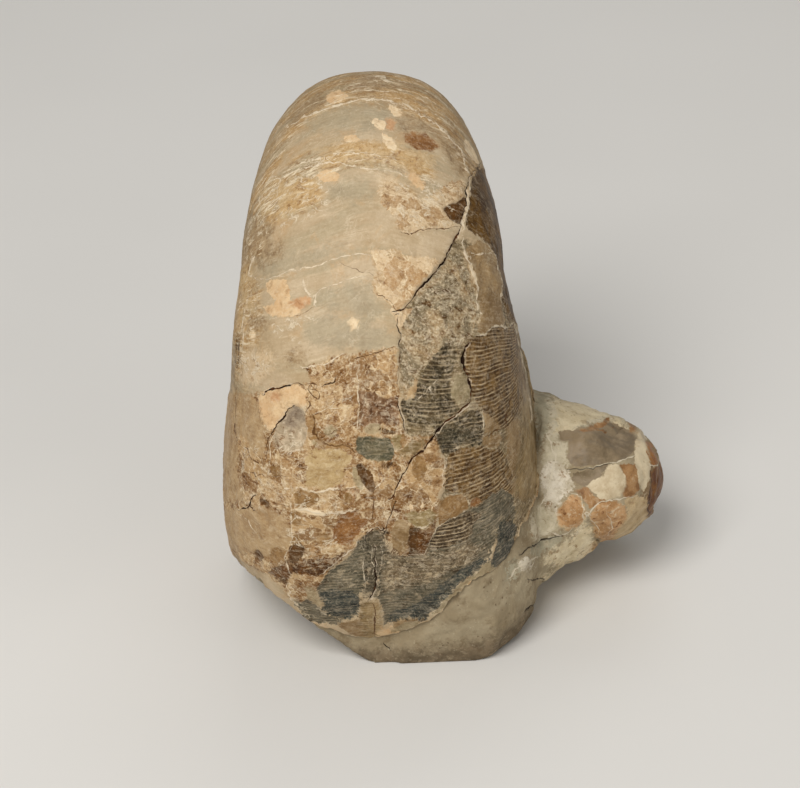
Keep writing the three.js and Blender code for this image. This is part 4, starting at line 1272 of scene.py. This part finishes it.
sideLines = {
    "crack": dict(
        plateLow=(0.06, 0.05, 569, 470, 584, 468, 612, 466),
        rimWall=(0.1, 0.1, 647, 516, 648, 500, 651, 486, 650, 472),
    ),
    "vein": dict(
        plateFoot=(0.16, 0, 576, 469, 592, 467, 612, 465, 626, 460, 634, 456),
        patchGap=(0.22, 0, 586, 514, 594, 507, 601, 501, 612, 500, 632, 496),
        patchEdge=(0.14, 0, 578, 498, 584, 508, 590, 516, 597, 526, 600, 536),
        leftRound=(0.12, 0, 572, 493, 580, 497, 584, 508, 582, 520),
        rightRun=(0.1, 0, 606, 512, 612, 524, 606, 536),
        honeyEdge=(0.2, 0, 648, 467, 655, 466, 658, 460),
    ),
}


# The lump: how its outline is drawn in, and how the mudstone closes over the second shell, in millimetres.
# Border and bare, in view points, outline the second shell and the part of it that nothing covers.
lump = {
    "middle": (585, 478),
    "still": 3,  # millimetres around its middle that aren't drawn in
    "reach": 10,  # millimetres from its middle to its outline
    "trim": [
        (-130, 0), (-112, 0), (-98, 0.4), (-81, 1.1), (-62, 0), (-45, 0.05), (-30, 0.15), (0, 0.5),
        (20, 1.3), (33, 2.05), (45, 2.6), (54, 2.9), (65, 2.5), (75, 2.05), (95, 1.5), (114, 1.2),
        (138, 0),
    ],  # direction in the picture, and how far the outline draws in there
    "border": (571, 440, 579, 429, 615, 420, 638, 421, 667, 425, 697, 477, 682, 536, 638, 563, 597, 574,
        575, 574, 584, 551, 596, 539, 588, 522, 574, 525, 551, 521, 565, 503, 574, 495, 582, 486,
        574, 471),
    "bare": (644, 436, 651, 440, 650, 466, 649, 484, 645, 500, 645, 520, 638, 536, 700, 570, 700, 430),
    "sink": 1.0,  # how deep the second shell's border goes down, over how much of it
    "within": 3.0,
    "below": 0.3,  # how far the shell stays under what covers it
    "over": 0.2,  # how far the mudstone rises over it
    "deepest": 3.5,  # the most that the mudstone rises
    "hop": 0.01,  # how far past a hit the next ray starts
    "slope": 0.12,  # how fast the cover thins out, a step of the mesh at a time
    "steps": 12,
    "smoothed": 4,
}


def bareShare(points, normals):
    # 1 where the second shell shows, 0 where the mudstone closes over it
    spots, facing = seenFromEye(points, normals)
    inside = insideOutline(spots, lump["bare"]) / pointsPerMm
    return np.maximum(smoothStep(inside, -0.2, 0.3), smoothStep(-facing, 0.2, 0.45))


def shapeLump(points, normals, isShell):
    # the second shell's border sinks into the mudstone, and both are drawn in to the lump's outline
    spots, facing = seenFromEye(points, normals)
    if isShell:
        inside = insideOutline(spots, lump["border"]) / pointsPerMm
        shift = lump["sink"] * (1 - smoothStep(inside, 0, lump["within"])) * smoothStep(facing, -0.4, -0.1)
        shift = np.maximum(shift, lump["below"] * (1 - bareShare(points, normals)))
        points = points - shift[:, None] * normals
    spoke = (spots - np.array(lump["middle"])) * (1, -1) / pointsPerMm
    length = np.maximum(np.linalg.norm(spoke, axis=1), 1e-6)
    turns, amounts = np.array(lump["trim"], float).T
    amount = np.interp(np.degrees(np.arctan2(spoke[:, 1], spoke[:, 0])), turns, amounts)
    amount = amount * smoothStep(length, lump["still"], lump["reach"]) / length
    inPicture = spoke[:, :1] * np.array(right) + spoke[:, 1:] * np.array(up)
    return points - amount[:, None] * inPicture


def coverShell(mesh, shell):
    # the mudstone rises until it closes over the second shell, and thins out around it
    points, normals = pointsOf(mesh)
    bm = bmesh.new()
    bm.from_mesh(shell)
    tree = BVHTree.FromBMesh(bm)
    bm.free()
    spots, _ = pointsOf(shell)
    near = ((points > spots.min(0) - 1) & (points < spots.max(0) + 1)).all(1)
    lift = np.zeros(len(points))
    for v in np.nonzero(near)[0]:
        start, way, reach = Vector(points[v]) * mm, Vector(normals[v]), 0.0
        while reach < lump["deepest"]:
            away = tree.ray_cast(start + way * reach * mm, way, (lump["deepest"] - reach) * mm)[3]
            if away is None:
                break
            reach += away / mm + lump["hop"]
            lift[v] = reach + lump["over"]
    pairs = np.zeros(len(mesh.edges) * 2, int)
    mesh.edges.foreach_get("vertices", pairs)
    one, other = pairs.reshape(-1, 2).T
    for _ in range(lump["steps"]):
        raised = lift.copy()
        np.maximum.at(raised, one, lift[other] - lump["slope"])
        np.maximum.at(raised, other, lift[one] - lump["slope"])
        lift = raised
    sides = np.bincount(one, minlength=len(lift)) + np.bincount(other, minlength=len(lift))
    for _ in range(lump["smoothed"]):
        around = np.bincount(one, lift[other], len(lift)) + np.bincount(other, lift[one], len(lift))
        lift = (lift + around / sides) / 2
    lift = lift * (1 - bareShare(points, normals))
    movePoints(mesh, points + lift[:, None] * normals)


def refined(node, name, voxel, rounds):
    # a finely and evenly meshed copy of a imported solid
    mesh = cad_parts[node].data.copy()
    bm = bmesh.new()
    bm.from_mesh(mesh)
    bmesh.ops.remove_doubles(bm, verts=bm.verts, dist=0.002 * mm)
    bm.to_mesh(mesh)
    bm.free()
    holder = bpy.data.objects.new(name, mesh)
    bpy.context.scene.collection.objects.link(holder)
    remesh = holder.modifiers.new("even", "REMESH")
    remesh.mode, remesh.voxel_size = "VOXEL", voxel * mm
    fine = bpy.data.meshes.new_from_object(holder.evaluated_get(bpy.context.evaluated_depsgraph_get()))
    bpy.data.objects.remove(holder)
    bm = bmesh.new()
    bm.from_mesh(fine)
    axes = {"use_axis_" + axis: True for axis in "xyz"}
    for _ in range(rounds):
        bmesh.ops.smooth_vert(bm, verts=bm.verts, factor=0.5, **axes)
    return meshFrom(bm, name)


def roughStone(mesh, patches, lines, grow, waves, shell=None):
    # shapes and roughens a refined copy and gives it its fields; the mudstone closes over the shell given
    points, normals = pointsOf(mesh)
    movePoints(mesh, shapeLump(points, normals, shell is None))
    if shell:
        coverShell(mesh, shell)
    points, normals = pointsOf(mesh)
    fields = markFields(mesh, points, normals, patches, lines)
    shift = np.full(len(points), float(grow))
    for number, (height, size) in enumerate(waves):
        shift += height * ripple(points, size, 80 + number, 4)
    shift -= sunkBy(patches, fields)
    near, half, depth = fields["crack"]
    shift -= depth * (1 - smoothStep(near, half * 0.5, half * 1.3 + 0.15))
    settled = smoothStep(points[:, 2], 0.0, 2.0)  # no relief where the part stands
    movePoints(mesh, points + (shift * settled)[:, None] * normals)


def stoneFinish():
    paint = Paint("mudstone")
    clouds = paint.cloud(6, 4, 0.6, 0.4)
    colour = paint.mix((148, 132, 104), (170, 155, 127), clouds.step(0.35, 0.65))
    colour = paint.mix(colour, (124, 106, 78), paint.cloud(2.4, 6, 0.72).step(0.5, 0.66) * 0.7)
    rough = paint.cloud(2.0, 3).step(0.3, 0.7, 0.72, 0.88)
    grain, lirae = clouds * 0.08, clouds * 0.0
    patches = {**matrixPatches, **sidePatches}
    colour, rough, grain, lirae = layered(paint, colour, rough, grain, lirae, patches)
    coarse = (grain * 25).low(1)
    sand = paint.cells(0.5, "F1").step(0.1, 0.3, 1.0, 0.0) * paint.cloud(1.7, 3).step(0.45, 0.6) * coarse
    colour = paint.mix(colour, (196, 184, 158), sand * 0.45)
    dots = paint.cells(0.9, "F1").step(0.1, 0.2, 1.0, 0.0) * paint.cloud(2.9, 3).step(0.5, 0.6) * coarse
    colour = paint.darken(colour, (150, 124, 92), dots * 0.75)
    (vein, _), (crack, _) = lineMask(paint, "vein"), lineMask(paint, "crack", 0.08)
    colour = paint.mix(colour, (214, 202, 178), vein * 0.8)
    # the cracks and the crevice are painted dark: partly dark filling, partly painted shade inside them
    colour = paint.mix(colour, (46, 34, 24), crack)
    height = grain * (paint.cloud(0.5, 6, 0.75) - 0.5) * 4 + paint.cloud(1.8, 4) * 0.14
    height = height - dots * 0.06 - crack * 0.2
    return paint.finish(colour, rough, height, {"Specular IOR Level": 0.25})


def sideFinish():
    paint = Paint("second shell")
    clouds = paint.cloud(4, 4, 0.6, 0.5)
    colour = paint.mix((152, 128, 94), (178, 156, 122), clouds.step(0.35, 0.65))
    rough = paint.cloud(2.0, 3).step(0.3, 0.7, 0.4, 0.55)
    grain, lirae = clouds * 0.03, clouds * 0.0
    colour, rough, grain, lirae = layered(paint, colour, rough, grain, lirae, sidePatches)
    net = paint.cells(3.2, warp=0.6).step(0.02, 0.06, 1.0, 0.0) * paint.cloud(2.2, 3).step(0.5, 0.62)
    net = net * grain.step(0.012, 0.03)
    colour = paint.mix(colour, (216, 198, 166), net * 0.4)
    (vein, _), (crack, _) = lineMask(paint, "vein"), lineMask(paint, "crack")
    colour = paint.mix(colour, (224, 206, 172), vein * 0.9)
    colour = paint.mix(colour, (60, 42, 26), crack * 0.8)
    height = grain * (paint.cloud(0.45, 5, 0.7) - 0.5) * 3 + paint.cloud(1.4, 4) * 0.06
    height = height + net * 0.03 - crack * 0.15
    return paint.finish(colour, rough, height, {"Specular IOR Level": 0.12})


def piece(name, mesh, material, node):
    mesh.materials.clear()
    mesh.materials.append(material)
    holder = bpy.data.objects.new(name, mesh)
    bpy.context.scene.collection.objects.link(holder)
    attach(holder, "root")
    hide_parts(node)
    print("made", name, len(mesh.polygons), "faces")


# Where the lamps stand and how large they are in metres, and their power in watts.
studio = {
    "floor": (226, 224, 220),
    "air": 0.26,
    "key": {"from": (-0.20, -0.46, 0.60), "size": 0.36, "power": 4.6},
    "fill": {"from": (0.45, -0.5, 0.30), "size": 0.5, "power": 0.7},
    "rim": {"from": (0.10, 0.45, 0.50), "size": 0.4, "power": 0.6},
    "warmth": (1.0, 0.985, 0.96),
}


def makeStudio():
    bm = bmesh.new()
    bmesh.ops.create_grid(bm, x_segments=2, y_segments=2, size=6)
    floor = bpy.data.objects.new("floor", meshFrom(bm, "floor"))
    bpy.context.scene.collection.objects.link(floor)
    paint = Paint("floor")
    colour = paint.mix(studio["floor"], (216, 214, 210), paint.cloud(90, 2))
    rough = paint.cloud(40, 2).step(0, 1, 0.8, 0.9)
    paint.finish(colour, rough, paint.cloud(4, 2) * 0.01, {"Specular IOR Level": 0.1})
    floor.data.materials.append(paint.material)

    aim = Vector(coil["centre"]) * mm
    for name in ("key", "fill", "rim"):
        lamp = bpy.data.lights.new(name, "AREA")
        lamp.shape, lamp.size, lamp.energy = "SQUARE", studio[name]["size"], studio[name]["power"]
        lamp.color = studio["warmth"]
        holder = bpy.data.objects.new(name, lamp)
        spot = Vector(studio[name]["from"])
        turned = (spot - aim).to_track_quat("Z", "Y").to_matrix().to_4x4()
        holder.matrix_world = Matrix.Translation(spot) @ turned
        bpy.context.scene.collection.objects.link(holder)

    world = bpy.data.worlds.new("studio")
    world.use_nodes = True
    world.node_tree.nodes["Background"].inputs["Color"].default_value = (1.0, 0.99, 0.97, 1.0)
    world.node_tree.nodes["Background"].inputs["Strength"].default_value = studio["air"]
    bpy.context.scene.world = world
    bpy.context.scene.view_settings.view_transform = "Standard"


print("camera and studio")
placeCamera()
makeStudio()

print("coiled shell")
piece("ammoniteShell", makeShell(), shellFinish(), "ammonite_shell")

print("second shell")
second = refined("side_shell", "secondShell", 0.2, 2)
roughStone(second, sidePatches, sideLines, 0.05, ((0.12, 4), (0.05, 1.2)))
piece("secondShell", second, sideFinish(), "side_shell")

print("mudstone")
stone = refined("matrix", "mudstone", 0.42, 3)
# the marks of the second shell run on over the mudstone that covers it
nowhere = 9  # so rare that noise never places one out of sight
onward = {name: {**look, "least": nowhere} for name, look in sidePatches.items()}
allLines = {kind: {**matrixLines[kind], **sideLines[kind]} for kind in matrixLines}
roughStone(stone, {**matrixPatches, **onward}, allLines, 0.2, ((0.3, 6), (0.1, 1.6)), second)
piece("mudstone", stone, stoneFinish(), "matrix")
